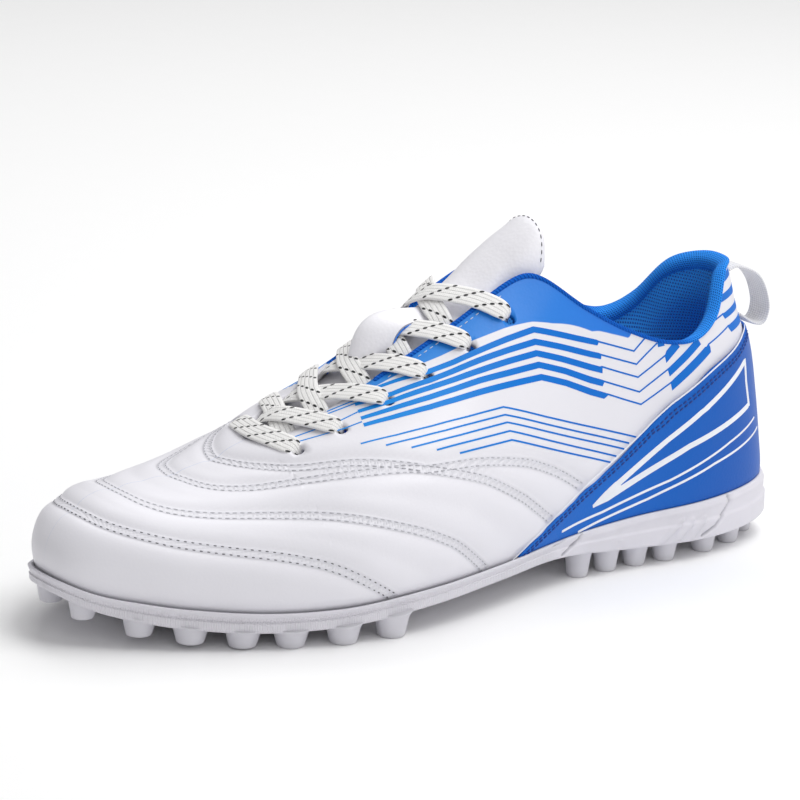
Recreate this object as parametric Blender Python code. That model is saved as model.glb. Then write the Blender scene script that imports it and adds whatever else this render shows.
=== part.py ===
"""A left turf shoe, every piece shaped by one last: sole, upper, heel panel, tongue, insole, laces, loop."""
import bmesh
import bpy
import numpy as np

MM = 0.001
UPPER_LENGTH = 286.0
BALL_WIDTH = 106.0
INSTEP_HEIGHT = 117.0
COLLAR_HEIGHT = 104.0
SIDE_HEIGHT = 14.0
HEEL_LEAN = 14.0
TOE_BULGE = 3.0
TOE_BULGE_HEIGHT = 30.0
UPPER_WALL = 2.2
COLLAR_PAD = 4.2
PAD_DEPTH = 42.0
PAD_FULL = 16.0
PAD_ROLL = 12.0
GAP = 0.3
TUCK = np.radians(24.0)

THROAT_START = 0.26
THROAT_HALF = 12.0
THROAT_FLARE = 6.0
EYELET_RADIUS = 2.3
EYELET_ANGLE = 0.22
EYELET_PLACES = (0.290, 0.341, 0.402, 0.455, 0.517, 0.575)

SOLE_WALL = 2.0
CUP_GAP = 0.42
STEP_DEPTH = 0.7
BLOCK_DEPTH = 0.9
FLOOR_GAP = 0.35
CUP_DEPTH = 3.3
EDGE_ROUND = 0.6
INSOLE_THICK = 3.0
STUD_RADIUS = 5.6
STUD_TAPER = 0.80
STUD_INSET = 4.7
STUD_SINK = 0.8
STUD_SIDES = 10

PANEL_THICK = 1.0
PANEL_GAP = 0.45
PANEL_TOP = 78.0
PANEL_RIM_GAP = 0.5
TONGUE_THICK = 3.4
TONGUE_THIN = 1.8
TONGUE_HALF = 21.0
TONGUE_LIFT = 3.0
TONGUE_GAP = 0.9
TONGUE_DROP = 5.5
TONGUE_ASIDE = 5.4
LACE_WIDTH = 6.6
LACE_THICK = 1.3
LACE_LIFT = 0.5
LACE_OVERLAP = 0.4
LOOP_WIDTH = 9.0
LOOP_THICK = 1.3
LOOP_REACH = 15.8

TOE_ROUND = 0.25
TOE_POWER = 2.25
HEEL_ROUND = 0.20
HEEL_POWER = 2.15
TOP_ROUND = 0.10
TOP_POWER = 2.3
TOE_RUN = 0.30
HEEL_RUN = 0.78

# Sections of the last, toe to heel. Widths are shares of the ball width, heights of the instep height.
SECTION_COLUMNS = ("at", "half_width", "centre", "crown", "ridge", "wall_power", "top_power")
SECTIONS = np.array([
    (0.00, 0.316, 0.028, 0.000, 0.397, 2.3, 2.3),
    (0.05, 0.358, 0.057, 0.009, 0.397, 2.3, 2.3),
    (0.12, 0.404, 0.049, 0.024, 0.399, 2.2, 2.3),
    (0.22, 0.464, 0.012, 0.042, 0.440, 2.1, 2.2),
    (0.32, 0.494, -0.031, 0.057, 0.560, 2.0, 2.0),
    (0.42, 0.468, -0.049, 0.061, 0.704, 1.9, 1.8),
    (0.52, 0.406, -0.040, 0.058, 0.859, 1.9, 1.7),
    (0.60, 0.355, -0.017, 0.051, 0.994, 2.0, 1.7),
    (0.66, 0.323, -0.002, 0.040, 1.083, 2.1, 1.8),
    (0.75, 0.300, 0.002, 0.025, 1.154, 2.2, 2.0),
    (0.85, 0.289, -0.008, 0.010, 1.168, 2.3, 2.2),
    (1.00, 0.279, -0.014, 0.000, 1.158, 2.3, 2.2),
])

# Collar height along the shoe, as a share of the collar height at the back.
COLLAR_COLUMNS = ("at", "lateral", "medial")
COLLAR = np.array([
    (0.50, 1.055, 1.055),
    (0.57, 1.060, 1.060),
    (0.61, 1.062, 1.068),
    (0.68, 0.938, 0.945),
    (0.75, 0.841, 0.847),
    (0.81, 0.788, 0.792),
    (0.86, 0.786, 0.762),
    (0.91, 0.850, 0.815),
    (0.96, 0.985, 0.938),
    (1.00, 0.985, 0.985),
])

# Line of the heel's back: height as a share of the collar height, shift as a share of the lean.
HEEL_LINE_COLUMNS = ("height", "shift")
HEEL_LINE = np.array([
    (0.00, 0.18),
    (0.11, 0.08),
    (0.23, 0.12),
    (0.36, -0.03),
    (0.52, -0.24),
    (0.68, -0.49),
    (0.86, -0.97),
    (1.05, -1.26),
    (1.40, -1.36),
])

# Rim of the sole, height of its side and floor under the studs, as shares of the side height.
SOLE_COLUMNS = ("at", "rim", "side", "ground")
SOLE = np.array([
    (0.00, 1.650, 0.380, 0.860),
    (0.03, 1.393, 0.430, 0.600),
    (0.08, 1.179, 0.490, 0.280),
    (0.15, 1.014, 0.520, 0.090),
    (0.22, 0.945, 0.510, 0.000),
    (0.28, 0.960, 0.500, 0.000),
    (0.36, 1.070, 0.490, 0.000),
    (0.45, 1.136, 0.450, 0.000),
    (0.55, 1.171, 0.420, 0.000),
    (0.62, 1.236, 0.460, 0.000),
    (0.68, 1.307, 0.620, 0.000),
    (0.75, 1.407, 0.830, 0.000),
    (0.85, 1.493, 0.990, 0.000),
    (1.00, 1.621, 1.060, 0.000),
])

# Studs: place along the shoe, place across from the lateral edge (-1) to the medial one (1), radius.
STUD_COLUMNS = ("at", "across", "radius")
STUDS = (
    (0.014, -0.90, 0.80), (0.066, -1.0, 0.92), (0.117, -1.0, 1.0), (0.171, -1.0, 1.0),
    (0.224, -1.0, 1.0), (0.287, -1.0, 1.0), (0.352, -1.0, 1.0), (0.012, 0.90, 0.80),
    (0.060, 1.0, 0.92), (0.112, 1.0, 1.0), (0.166, 1.0, 1.0), (0.222, 1.0, 1.0),
    (0.285, 1.0, 1.0), (0.352, 1.0, 1.0), (0.095, -0.33, 0.9), (0.095, 0.33, 0.9),
    (0.160, 0.0, 0.9), (0.225, -0.36, 0.9), (0.225, 0.36, 0.9), (0.290, 0.0, 0.9),
    (0.350, -0.36, 0.9), (0.350, 0.36, 0.9), (0.688, -1.0, 0.78), (0.734, -1.0, 0.78),
    (0.780, -1.0, 0.78), (0.826, -1.0, 0.78), (0.893, -1.0, 0.78), (0.945, -1.0, 0.74),
    (0.990, -1.0, 0.74), (0.688, 1.0, 0.78), (0.734, 1.0, 0.78), (0.780, 1.0, 0.78),
    (0.826, 1.0, 0.78), (0.893, 1.0, 0.78), (0.945, 1.0, 0.74), (0.990, 1.0, 0.74),
    (0.757, 0.0, 0.85), (0.850, 0.0, 0.85),
)

# Front edge of the heel panel: height as a share of the panel's top, run along the last.
PANEL_COLUMNS = ("height", "run")
PANEL_FRONT = np.array([
    (0.192, 0.556), (0.314, 0.610), (0.436, 0.665), (0.527, 0.705), (0.627, 0.738), (0.763, 0.783),
    (0.817, 0.807), (0.904, 0.843), (0.955, 0.887), (1.000, 0.940), (1.154, 0.980),
])

# Tongue: place along the shoe, shares of its half width, of its lift, of flatness and of its lean aside.
TONGUE_COLUMNS = ("at", "half_width", "lift", "flat", "aside")
TONGUE = np.array([
    (0.235, 0.67, 0.00, 0.00, 0.00),
    (0.300, 0.90, 0.00, 0.00, 0.00),
    (0.420, 1.00, 0.00, 0.00, 0.00),
    (0.520, 0.90, 0.00, 0.00, 0.00),
    (0.570, 0.76, -0.07, 0.05, 0.00),
    (0.600, 0.68, 0.08, 0.80, 0.40),
    (0.620, 0.68, 0.26, 1.00, 0.75),
    (0.640, 0.65, 0.43, 1.00, 1.00),
    (0.654, 0.62, 0.52, 1.00, 1.00),
    (0.660, 0.57, 0.54, 1.00, 1.00),
])

# Pull loop in the mid plane: share of its reach from the heel, height as a share of the collar height.
LOOP_COLUMNS = ("out", "height")
LOOP = ((0.062, 0.933), (0.282, 0.942), (0.590, 0.928), (0.872, 0.899), (1.000, 0.846),
        (0.949, 0.779), (0.692, 0.729), (0.410, 0.733), (0.103, 0.769))

RUNS = np.array([
    0.0, 0.012, 0.030, 0.055, 0.085, 0.115, 0.150, 0.185, 0.220, 0.250, 0.280, 0.3087, 0.312, 0.320,
    0.335, 0.355, 0.385, 0.415, 0.445, 0.475, 0.505, 0.535, 0.565, 0.590, 0.612, 0.635, 0.665, 0.700,
    0.735, 0.770, 0.800, 0.828, 0.855, 0.880, 0.905, 0.930, 0.955, 0.978, 1.0,
])
ROWS = 10

PAINTS = {
    "rubber_white": ((0.80, 0.80, 0.84), 0.50),
    "leather_white": ((0.84, 0.83, 0.88), 0.42),
    "leather_blue": ((0.02, 0.13, 0.62), 0.45),
    "tongue_white": ((0.86, 0.86, 0.90), 0.50),
    "insole_cloth": ((0.10, 0.24, 0.62), 0.85),
    "lace_white": ((0.80, 0.80, 0.78), 0.80),
    "webbing_white": ((0.84, 0.84, 0.86), 0.75),
}


def curve(x, xs, ys):
    """Value at x of the smooth curve through the points (xs, ys)."""
    x, xs, ys = np.asarray(x, float), np.asarray(xs, float), np.asarray(ys, float)
    h = np.diff(xs)
    d = np.diff(ys) / h
    m = np.concatenate([d[:1], (d[:-1] * h[1:] + d[1:] * h[:-1]) / (h[:-1] + h[1:]), d[-1:]])
    k = np.clip(np.searchsorted(xs, x, side="right") - 1, 0, len(xs) - 2)
    t = np.clip((x - xs[k]) / h[k], 0.0, 1.0)
    low = ys[k] * (1 + 2 * t) * (1 - t) ** 2 + m[k] * h[k] * t * (1 - t) ** 2
    return low + ys[k + 1] * t * t * (3 - 2 * t) + m[k + 1] * h[k] * t * t * (t - 1)


def column(at, name, table=SECTIONS, names=SECTION_COLUMNS):
    """One named column of a table at the share of the length."""
    return curve(at, table[:, 0], table[:, names.index(name)])


def place(run):
    """Share of the length for a run of 0 to 1, with the stations closed up at both round ends."""
    run = np.asarray(run, float)
    toe = np.clip((TOE_RUN - run) / TOE_RUN, 0.0, 1.0) * np.pi / 2
    heel = np.clip((run - HEEL_RUN) / (1 - HEEL_RUN), 0.0, 1.0) * np.pi / 2
    span = (1 - HEEL_ROUND - TOE_ROUND) * (run - TOE_RUN) / (HEEL_RUN - TOE_RUN)
    middle = TOE_ROUND + span
    at = np.where(run < TOE_RUN, TOE_ROUND * (1 - np.sin(toe)), middle)
    return np.where(run > HEEL_RUN, 1 - HEEL_ROUND + HEEL_ROUND * np.sin(heel), at)


def run_at(at):
    """Run that gives the share of the length."""
    runs = np.linspace(0.0, 1.0, 2001)
    return np.interp(at, place(runs), runs)


def rounding(u, power):
    """Quarter of a rounded square: 1 at u = 0 and 0 at u = 1."""
    return np.maximum(1.0 - np.clip(u, 0.0, 1.0) ** power, 0.0) ** (1.0 / power)


def heights(at, inset=0.0):
    """Feather height, height of the ridge above it and the section's wall power."""
    feather = column(at, "rim", SOLE, SOLE_COLUMNS) * SIDE_HEIGHT - CUP_DEPTH
    ridge = column(at, "ridge") * INSTEP_HEIGHT - inset
    return feather, (ridge - feather) * rounding(1 - at / TOP_ROUND, TOP_POWER), column(at, "wall_power")


def lean(at, z, feather):
    """Shift along the shoe from the line of the heel's back and the bulge of the toe."""
    back = curve(z / COLLAR_HEIGHT, HEEL_LINE[:, 0], HEEL_LINE[:, 1]) * HEEL_LEAN
    h = np.clip((z - feather) / TOE_BULGE_HEIGHT, 0.0, 1.0)
    toe = TOE_BULGE * 4 * h * (1 - h) * np.clip(1 - at / 0.2, 0.0, 1.0)
    return np.clip((at - 0.6) / 0.4, 0.0, 1.0) ** 1.5 * back - toe


def across(at, side, angle, inset):
    """Distance from the centre plane at an angle up the section."""
    ends = rounding(1 - at / TOE_ROUND, TOE_POWER)
    ends = ends * rounding((at - 1 + HEEL_ROUND) / HEEL_ROUND, HEEL_POWER)
    half = column(at, "half_width") * BALL_WIDTH - inset
    centre = column(at, "centre") * BALL_WIDTH
    crown = centre + column(at, "crown") * BALL_WIDTH * ends
    turn = np.abs(np.cos(angle)) ** (2.0 / column(at, "top_power"))
    return crown + (centre + side * half * ends - crown) * turn


def last(run, side, angle, inset=0.0):
    """Point on the last, inset inwards: -TUCK at the feather edge, pi/2 at the ridge."""
    run, side, angle, inset = np.broadcast_arrays(run, side, angle, inset)
    at = place(run)
    feather, rise, power = heights(at, inset)
    low = np.sin(TUCK) ** (2.0 / power)
    high = np.sign(np.sin(angle)) * np.abs(np.sin(angle)) ** (2.0 / power)
    z = feather + rise * (high + low) / (1 + low)
    x = (at - 0.5) * UPPER_LENGTH + inset * (1 - 2 * at) + lean(at, z, feather)
    return np.stack([x, across(at, side, angle, inset), z], -1)


def angle_at(run, z, inset=0.0):
    """Angle at which the section of the last reaches the height z."""
    at = place(run)
    feather, rise, power = heights(at, inset)
    low = np.sin(TUCK) ** (2.0 / power)
    share = np.clip((z - feather) / np.maximum(rise, 1e-6), 0.0, 1.0) * (1 + low) - low
    return np.sign(share) * np.arcsin(np.abs(share) ** (power / 2.0))


def angle_off(run, side, gap, inset=0.0):
    """Angle at which the section is the distance gap away from its ridge."""
    at = place(run)
    reach = (column(at, "half_width") - side * column(at, "crown")) * BALL_WIDTH - inset
    return np.arccos(np.clip(gap / reach, 0.0, 1.0) ** (column(at, "top_power") / 2.0))


def level(run, side, z, inset=0.0):
    """Point of the last's outline at the height z, also where the last is lower than z."""
    run, side, z = np.broadcast_arrays(run, side, z)
    at = place(run)
    feather = heights(at)[0]
    x = (at - 0.5) * UPPER_LENGTH + inset * (1 - 2 * at) + lean(at, np.maximum(z, feather), feather)
    return np.stack([x, across(at, side, angle_at(run, z, inset), inset), z], -1)


def top_angle(run, side):
    """Angle of the upper's edge: ridge before the throat, then throat, then collar."""
    run, side = np.broadcast_arrays(run, side)
    at = place(run)
    u = np.clip((at - THROAT_START) / 0.05, 0.0, 1.0)
    gap = THROAT_HALF * np.sqrt(1 - (1 - u) ** 2)
    gap = gap + THROAT_FLARE * np.clip((at - THROAT_START - 0.05) / 0.3, 0.0, 1.0)
    throat = angle_off(run, side, gap)
    low = column(at, "lateral", COLLAR, COLLAR_COLUMNS)
    high = column(at, "medial", COLLAR, COLLAR_COLUMNS)
    collar = angle_at(run, np.where(side < 0, low, high) * COLLAR_HEIGHT)
    soft = -0.06 * np.log(np.exp(-throat / 0.06) + np.exp(-collar / 0.06))
    edge = np.where(at < 0.45, throat, np.minimum(soft, throat))
    return np.where(at <= THROAT_START + 1e-5, np.pi / 2, edge)


def smooth_step(x, start, end):
    """0 before start, 1 after end."""
    t = np.clip((x - start) / (end - start), 0.0, 1.0)
    return t * t * (3 - 2 * t)


def wall_inset(run, angle, top):
    """Thickness of the upper: the plain wall, with a pad under the collar."""
    down = (top - angle) * 0.52 * BALL_WIDTH
    pad = smooth_step(place(run), 0.62, 0.72) * smooth_step(-down, -PAD_DEPTH, -PAD_FULL)
    return UPPER_WALL + COLLAR_PAD * pad * (0.25 + 0.75 * smooth_step(down, 0.0, PAD_ROLL))


def paint(name):
    """Plain material with the colour and roughness of one row of PAINTS."""
    color, rough = PAINTS[name]
    material = bpy.data.materials.get(name) or bpy.data.materials.new(name)
    material.use_nodes = True
    shader = material.node_tree.nodes["Principled BSDF"]
    shader.inputs["Base Color"].default_value = (*color, 1.0)
    shader.inputs["Roughness"].default_value = rough
    return material


def add_mesh(name, points, faces, material):
    """Object from points in millimetres and faces; points that coincide are joined first."""
    points = np.asarray(points, float)
    keys, index = np.unique(np.round(points, 4), axis=0, return_inverse=True)
    index = index.reshape(-1)
    clean = []
    for face in faces:
        ring = [int(index[v]) for v in face]
        ring = [v for k, v in enumerate(ring) if v != ring[k - 1]]
        if len(ring) > 2:
            clean.append(ring)
    mesh = bpy.data.meshes.new(name)
    mesh.from_pydata((keys * MM).tolist(), [], clean)
    body = bmesh.new()
    body.from_mesh(mesh)
    bmesh.ops.recalc_face_normals(body, faces=body.faces)
    bmesh.ops.triangulate(body, faces=[f for f in body.faces if len(f.verts) > 3])
    body.to_mesh(mesh)
    body.free()
    for polygon in mesh.polygons:
        polygon.use_smooth = True
    thing = bpy.data.objects.new(name, mesh)
    bpy.context.scene.collection.objects.link(thing)
    thing.data.materials.append(paint(material))
    return thing


def grid_faces(rows, columns, start=0, flip=False):
    """Quads of a grid whose points are stored row by row."""
    faces = []
    for i in range(rows - 1):
        for j in range(columns - 1):
            a = start + i * columns + j
            ring = (a, a + 1, a + columns + 1, a + columns)
            faces.append(ring[::-1] if flip else ring)
    return faces


def tube_faces(rings, count, start=0, caps=True):
    """Quads between closed rings of count points, with a fan over each end."""
    faces = []
    for i in range(rings - 1):
        for j in range(count):
            a = start + i * count + j
            b = start + i * count + (j + 1) % count
            faces.append((a, b, b + count, a + count))
    if caps:
        faces.append(tuple(range(start + count - 1, start - 1, -1)))
        faces.append(tuple(start + (rings - 1) * count + j for j in range(count)))
    return faces


def cutter(name, points, faces):
    """Hidden helper object for a Boolean modifier."""
    thing = add_mesh(name, points, faces, "rubber_white")
    thing.hide_render = True
    thing.display_type = "WIRE"
    return thing


def combine(target, other, operation):
    """Exact Boolean of two objects, applied at once; the second one is removed."""
    modifier = target.modifiers.new("combine", "BOOLEAN")
    modifier.operation = operation
    modifier.solver = "EXACT"
    modifier.object = other
    graph = bpy.context.evaluated_depsgraph_get()
    mesh = bpy.data.meshes.new_from_object(target.evaluated_get(graph))
    target.modifiers.clear()
    old = target.data
    target.data = mesh
    mesh.name = old.name
    bpy.data.meshes.remove(old)
    bpy.data.objects.remove(other, do_unlink=True)
    body = bmesh.new()
    body.from_mesh(mesh)
    bmesh.ops.remove_doubles(body, verts=body.verts, dist=0.00002)
    bmesh.ops.dissolve_degenerate(body, edges=body.edges, dist=0.00001)
    bmesh.ops.triangulate(body, faces=[f for f in body.faces if len(f.verts) > 3])
    body.to_mesh(mesh)
    body.free()
    for polygon in mesh.polygons:
        polygon.use_smooth = True


def sheet_solid(name, outer, inner, material):
    """Closed body between two grids of the same size."""
    rows, columns = outer.shape[:2]
    count = rows * columns
    faces = grid_faces(rows, columns) + grid_faces(rows, columns, count, True)
    edge = [(0, j) for j in range(columns)] + [(i, columns - 1) for i in range(1, rows)]
    edge += [(rows - 1, j) for j in range(columns - 2, -1, -1)] + [(i, 0) for i in range(rows - 2, 0, -1)]
    ids = [i * columns + j for i, j in edge]
    for k, a in enumerate(ids):
        b = ids[(k + 1) % len(ids)]
        faces.append((b, a, a + count, b + count))
    points = np.concatenate([outer.reshape(-1, 3), inner.reshape(-1, 3)])
    return add_mesh(name, points, faces, material)


def make_upper():
    """Hollow upper: outer and inner forms of the last, joined at the feather, throat and collar edges."""
    shares = np.linspace(0.0, 1.0, ROWS + 1)[None]
    points = []
    faces = []
    for side in (-1.0, 1.0):
        runs = RUNS[:, None]
        top = top_angle(runs, side)
        angle = -TUCK + (top + TUCK) * shares
        outer = last(runs, side, angle)
        inner = last(runs, side, angle, wall_inset(runs, angle, top))
        start = sum(len(p) for p in points)
        count = outer.shape[0] * outer.shape[1]
        points += [outer.reshape(-1, 3), inner.reshape(-1, 3)]
        faces += grid_faces(len(RUNS), ROWS + 1, start) + grid_faces(len(RUNS), ROWS + 1, start + count, True)
        for i in range(len(RUNS) - 1):
            open_here = place(RUNS[i + 1]) > THROAT_START + 1e-4
            for j in (0, ROWS) if open_here else (0,):
                a = start + i * (ROWS + 1) + j
                b = a + ROWS + 1
                faces.append((a, b, b + count, a + count))
    upper = add_mesh("upper", np.concatenate(points), faces, "leather_white")
    holes = []
    rings = []
    for at in EYELET_PLACES:
        for side in (-1.0, 1.0):
            centre, normal, along = eyelet(at, side)
            sideways = np.cross(normal, along)
            turn = np.linspace(0.0, 2 * np.pi, 11)[:-1, None]
            circle = EYELET_RADIUS * (np.cos(turn) * along + np.sin(turn) * sideways)
            rings += tube_faces(2, 10, len(holes) * 20)
            inside, outside = centre + circle - 2.3 * UPPER_WALL * normal, centre + circle + UPPER_WALL * normal
            holes.append(np.concatenate([inside, outside]))
    combine(upper, cutter("eyelet_cutter", np.concatenate(holes), rings), "DIFFERENCE")
    return upper


def frame_on_last(run, turn, lift=0.0):
    """Point and outward normal over the top of the last; turn is the angle away from the ridge."""
    side = np.where(turn < 0, -1.0, 1.0)
    angle = np.pi / 2 - np.abs(turn)
    point = last(run, side, angle, -lift)
    step = 1e-3
    along = last(run + step, side, angle, -lift) - last(run - step, side, angle, -lift)
    a, b = turn - step, turn + step
    low = last(run, np.where(a < 0, -1.0, 1.0), np.pi / 2 - np.abs(a), -lift)
    high = last(run, np.where(b < 0, -1.0, 1.0), np.pi / 2 - np.abs(b), -lift)
    normal = np.cross(along, high - low)
    return point, normal / np.linalg.norm(normal, axis=-1, keepdims=True)


def eyelet(at, side):
    """Centre, outward normal and direction along the shoe of one eyelet."""
    run = run_at(at)
    turn = side * (np.pi / 2 - top_angle(run, side) + EYELET_ANGLE)
    centre, normal = frame_on_last(run, np.asarray(turn))
    ahead = frame_on_last(run + 0.002, np.asarray(turn))[0] - centre
    along = ahead - normal * (ahead @ normal)
    return centre, normal, along / np.linalg.norm(along)


def sole_heights(at):
    """Rim height, height of the side's lower edge and floor under the studs."""
    rim = column(at, "rim", SOLE, SOLE_COLUMNS) * SIDE_HEIGHT
    low = rim - column(at, "side", SOLE, SOLE_COLUMNS) * SIDE_HEIGHT
    return rim, low, np.maximum(column(at, "ground", SOLE, SOLE_COLUMNS) * SIDE_HEIGHT, 0.0)


def make_outsole():
    """Cup sole: floor, stepped side wall that hugs the upper, arch, toe spring, heel block and studs."""
    at = place(RUNS)
    rim, low, _ = sole_heights(at)
    feather = heights(at)[0]
    block = BLOCK_DEPTH * smooth_step(at, 0.665, 0.70)
    out = CUP_GAP + SOLE_WALL
    middle = rim - 0.50 * (rim - low)
    profile = (
        (feather - FLOOR_GAP, CUP_GAP), (feather + CUP_DEPTH * 0.45, CUP_GAP),
        (rim - EDGE_ROUND / 2, CUP_GAP), (rim, CUP_GAP + EDGE_ROUND),
        (rim, out - EDGE_ROUND), (rim - EDGE_ROUND, out), (middle, out + 0.2 * STEP_DEPTH + block),
        (middle - EDGE_ROUND, out + STEP_DEPTH + block),
        (low + 2 * EDGE_ROUND, out + STEP_DEPTH + block), (low, out - EDGE_ROUND + block),
    )
    columns = []
    for side in (-1.0, 1.0):
        rows = [level(RUNS, side, z, -offset * np.ones_like(RUNS)) for z, offset in profile]
        columns.append(np.stack(rows, 1))
    shares = np.linspace(0.0, 1.0, 4)[1:-1, None]
    lateral, medial = columns
    floor = lateral[:, :1] * (1 - shares.T[..., None]) + medial[:, :1] * shares.T[..., None]
    under = lateral[:, -1:] * (1 - shares.T[..., None]) + medial[:, -1:] * shares.T[..., None]
    ring = np.concatenate([lateral[:, ::-1], floor, medial, under[:, ::-1]], 1)
    count = ring.shape[1]
    sole = add_mesh("outsole", ring.reshape(-1, 3), tube_faces(len(RUNS), count, caps=False), "rubber_white")
    points = []
    faces = []
    turn = np.linspace(0.0, 2 * np.pi, STUD_SIDES + 1)[:-1]
    for at, across_share, size in STUDS:
        run = run_at(at)
        radius = STUD_RADIUS * size
        left, right = (level(run, s, sole_heights(at)[0], STUD_INSET) for s in (-1.0, 1.0))
        centre = left + (right - left) * (across_share + 1) / 2
        low, ground = sole_heights(centre[0] / UPPER_LENGTH + 0.5)[1:]
        for z, r in ((low + STUD_SINK, radius), (ground, radius * STUD_TAPER)):
            circle = np.stack([np.cos(turn) * r, np.sin(turn) * r, np.full(STUD_SIDES, z)], -1)
            circle[:, :2] += centre[:2]
            if z > low:
                circle[:, 2] = sole_heights(circle[:, 0] / UPPER_LENGTH + 0.5)[1] + STUD_SINK
            points.append(circle)
        faces += tube_faces(2, STUD_SIDES, (len(points) - 2) * STUD_SIDES)
    combine(sole, cutter("stud_cutter", np.concatenate(points), faces), "UNION")
    return sole


def make_insole():
    """Loose insole on the sole's floor, inside the upper's feather edge."""
    at = place(RUNS)
    feather = heights(at)[0]
    inset = UPPER_WALL + GAP + 0.2
    bottom = feather - FLOOR_GAP + GAP
    profile = ((bottom, inset), (bottom + INSOLE_THICK - EDGE_ROUND, inset),
               (bottom + INSOLE_THICK, inset + EDGE_ROUND))
    sides = []
    for side in (-1.0, 1.0):
        rows = []
        for z, offset in profile:
            row = level(RUNS, side, feather, offset * np.ones_like(RUNS))
            row[:, 2] = z
            rows.append(row)
        sides.append(np.stack(rows, 1))
    lateral, medial = sides
    half = 0.5 * (lateral + medial)
    ring = np.concatenate([lateral, half[:, -1:], medial[:, ::-1], half[:, :1]], 1)
    faces = tube_faces(len(RUNS), ring.shape[1], caps=False)
    return add_mesh("insole", ring.reshape(-1, 3), faces, "insole_cloth")


def make_heel_panel():
    """Blue heel piece over both sides and the back, between two larger forms of the upper."""
    tip = float(PANEL_FRONT[0, 1])
    stations = np.concatenate([[tip], RUNS[RUNS > tip + 0.005]])
    rows = []
    for k in 1 - (1 - np.linspace(0.0, 1.0, 16)) ** 1.3:
        start = tip
        for _ in range(6):
            z = low_edge(start) + k * (PANEL_TOP - low_edge(start))
            start = float(curve(z / PANEL_TOP, PANEL_FRONT[:, 0], PANEL_FRONT[:, 1]))
        runs = np.maximum(stations, start)
        z = low_edge(runs) + k * (PANEL_TOP - low_edge(runs))
        row = []
        for offset in (PANEL_GAP + PANEL_THICK, PANEL_GAP):
            lateral = level(runs, -1.0, z, -offset * np.ones_like(runs))
            medial = level(runs, 1.0, z, -offset * np.ones_like(runs))
            row.append(np.concatenate([lateral, medial[-2::-1]]))
        rows.append(row)
    rows = np.array(rows)
    return sheet_solid("heel_panel", rows[:, 0], rows[:, 1], "leather_blue")


def low_edge(run):
    """Height of the heel panel's lower edge, just above the sole's rim."""
    return sole_heights(place(run))[0] + PANEL_RIM_GAP


def tongue_point(at, v, down):
    """Point of the tongue at a share v across it, the distance down below its top face."""
    half, lift, flat, aside = (column(at, name, TONGUE, TONGUE_COLUMNS) for name in TONGUE_COLUMNS[1:])
    half, lift, aside = half * TONGUE_HALF, lift * TONGUE_LIFT, aside * TONGUE_ASIDE
    run = run_at(at)
    side = np.where(v < 0, -1.0, 1.0)
    inset = UPPER_WALL + TONGUE_GAP + down
    ridge = last(run, side, np.pi / 2, inset)
    under = last(run, side, angle_off(run, side, np.abs(v) * half, inset), inset)
    z_flat = ridge[..., 2] - TONGUE_DROP * v * v
    z = under[..., 2] * (1 - flat) + z_flat * flat + lift
    return np.stack([ridge[..., 0], ridge[..., 1] + v * half - aside, z], -1)


def make_tongue():
    """Padded tongue under the throat and above the collar."""
    tip = (0.648, 0.654, 0.658, 0.660)
    at = np.concatenate([np.linspace(0.235, 0.56, 12), np.linspace(0.58, 0.64, 5), tip])
    v = np.linspace(-1.0, 1.0, 9)[None]
    thick = TONGUE_THIN + (TONGUE_THICK - TONGUE_THIN) * smooth_step(at, 0.30, 0.56)[:, None]
    thick = thick * (1 - 0.45 * np.abs(v) ** 6) * (1 - 0.5 * smooth_step(at, 0.645, 0.66)[:, None])
    outer = tongue_point(at[:, None], v, 0.0 * v)
    inner = tongue_point(at[:, None], v, 0.0 * v)
    inner[..., 2] -= thick * 1.15
    return sheet_solid("tongue", outer, inner, "tongue_white")


def ribbon(start, end, count, width=LACE_WIDTH, thick=LACE_THICK, lift=LACE_LIFT):
    """Rings of a flat lace laid over the last from one (run, turn) to another."""
    t = np.linspace(0.0, 1.0, count)
    run = start[0] + (end[0] - start[0]) * t
    turn = start[1] + (end[1] - start[1]) * t
    middle, normal = frame_on_last(run, turn, lift)
    tangent = np.gradient(middle, axis=0)
    sideways = np.cross(normal, tangent)
    sideways = sideways / np.linalg.norm(sideways, axis=-1, keepdims=True) * width / 2
    top = normal * thick
    rounded = 0.82
    rings = (middle - sideways + top * 0.5, middle - sideways * rounded, middle + sideways * rounded,
             middle + sideways + top * 0.5, middle + sideways * rounded + top,
             middle - sideways * rounded + top)
    return np.stack(rings, 1).reshape(-1, 3), tube_faces(count, 6)


def eyelet_turn(at, side):
    """Run and signed turn of an eyelet."""
    run = run_at(at)
    return run, side * float(np.pi / 2 - top_angle(run, side) + EYELET_ANGLE)


def make_laces():
    """Bar through the lowest eyelets, then one joined cross for each higher pair."""
    rows = []
    for row, at in enumerate(EYELET_PLACES):
        near, far = eyelet_turn(at, -1.0), eyelet_turn(at, 1.0)
        name = "lace_row_%d" % (row + 1)
        if row == 0:
            points, faces = ribbon(near, far, 11)
            rows.append(add_mesh(name, points, faces, "lace_white"))
            continue
        below = EYELET_PLACES[row - 1]
        run = run_at(below + 0.40 * (at - below))
        low = 0.80 * (np.pi / 2 - float(top_angle(run, 1.0)))
        points, faces = ribbon(near, (run, low), 9)
        lace = add_mesh(name, points, faces, "lace_white")
        points, faces = ribbon(far, (run, -low), 9, lift=LACE_LIFT + LACE_OVERLAP)
        combine(lace, cutter("lace_cutter", points, faces), "UNION")
        rows.append(lace)
    return rows


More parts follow.
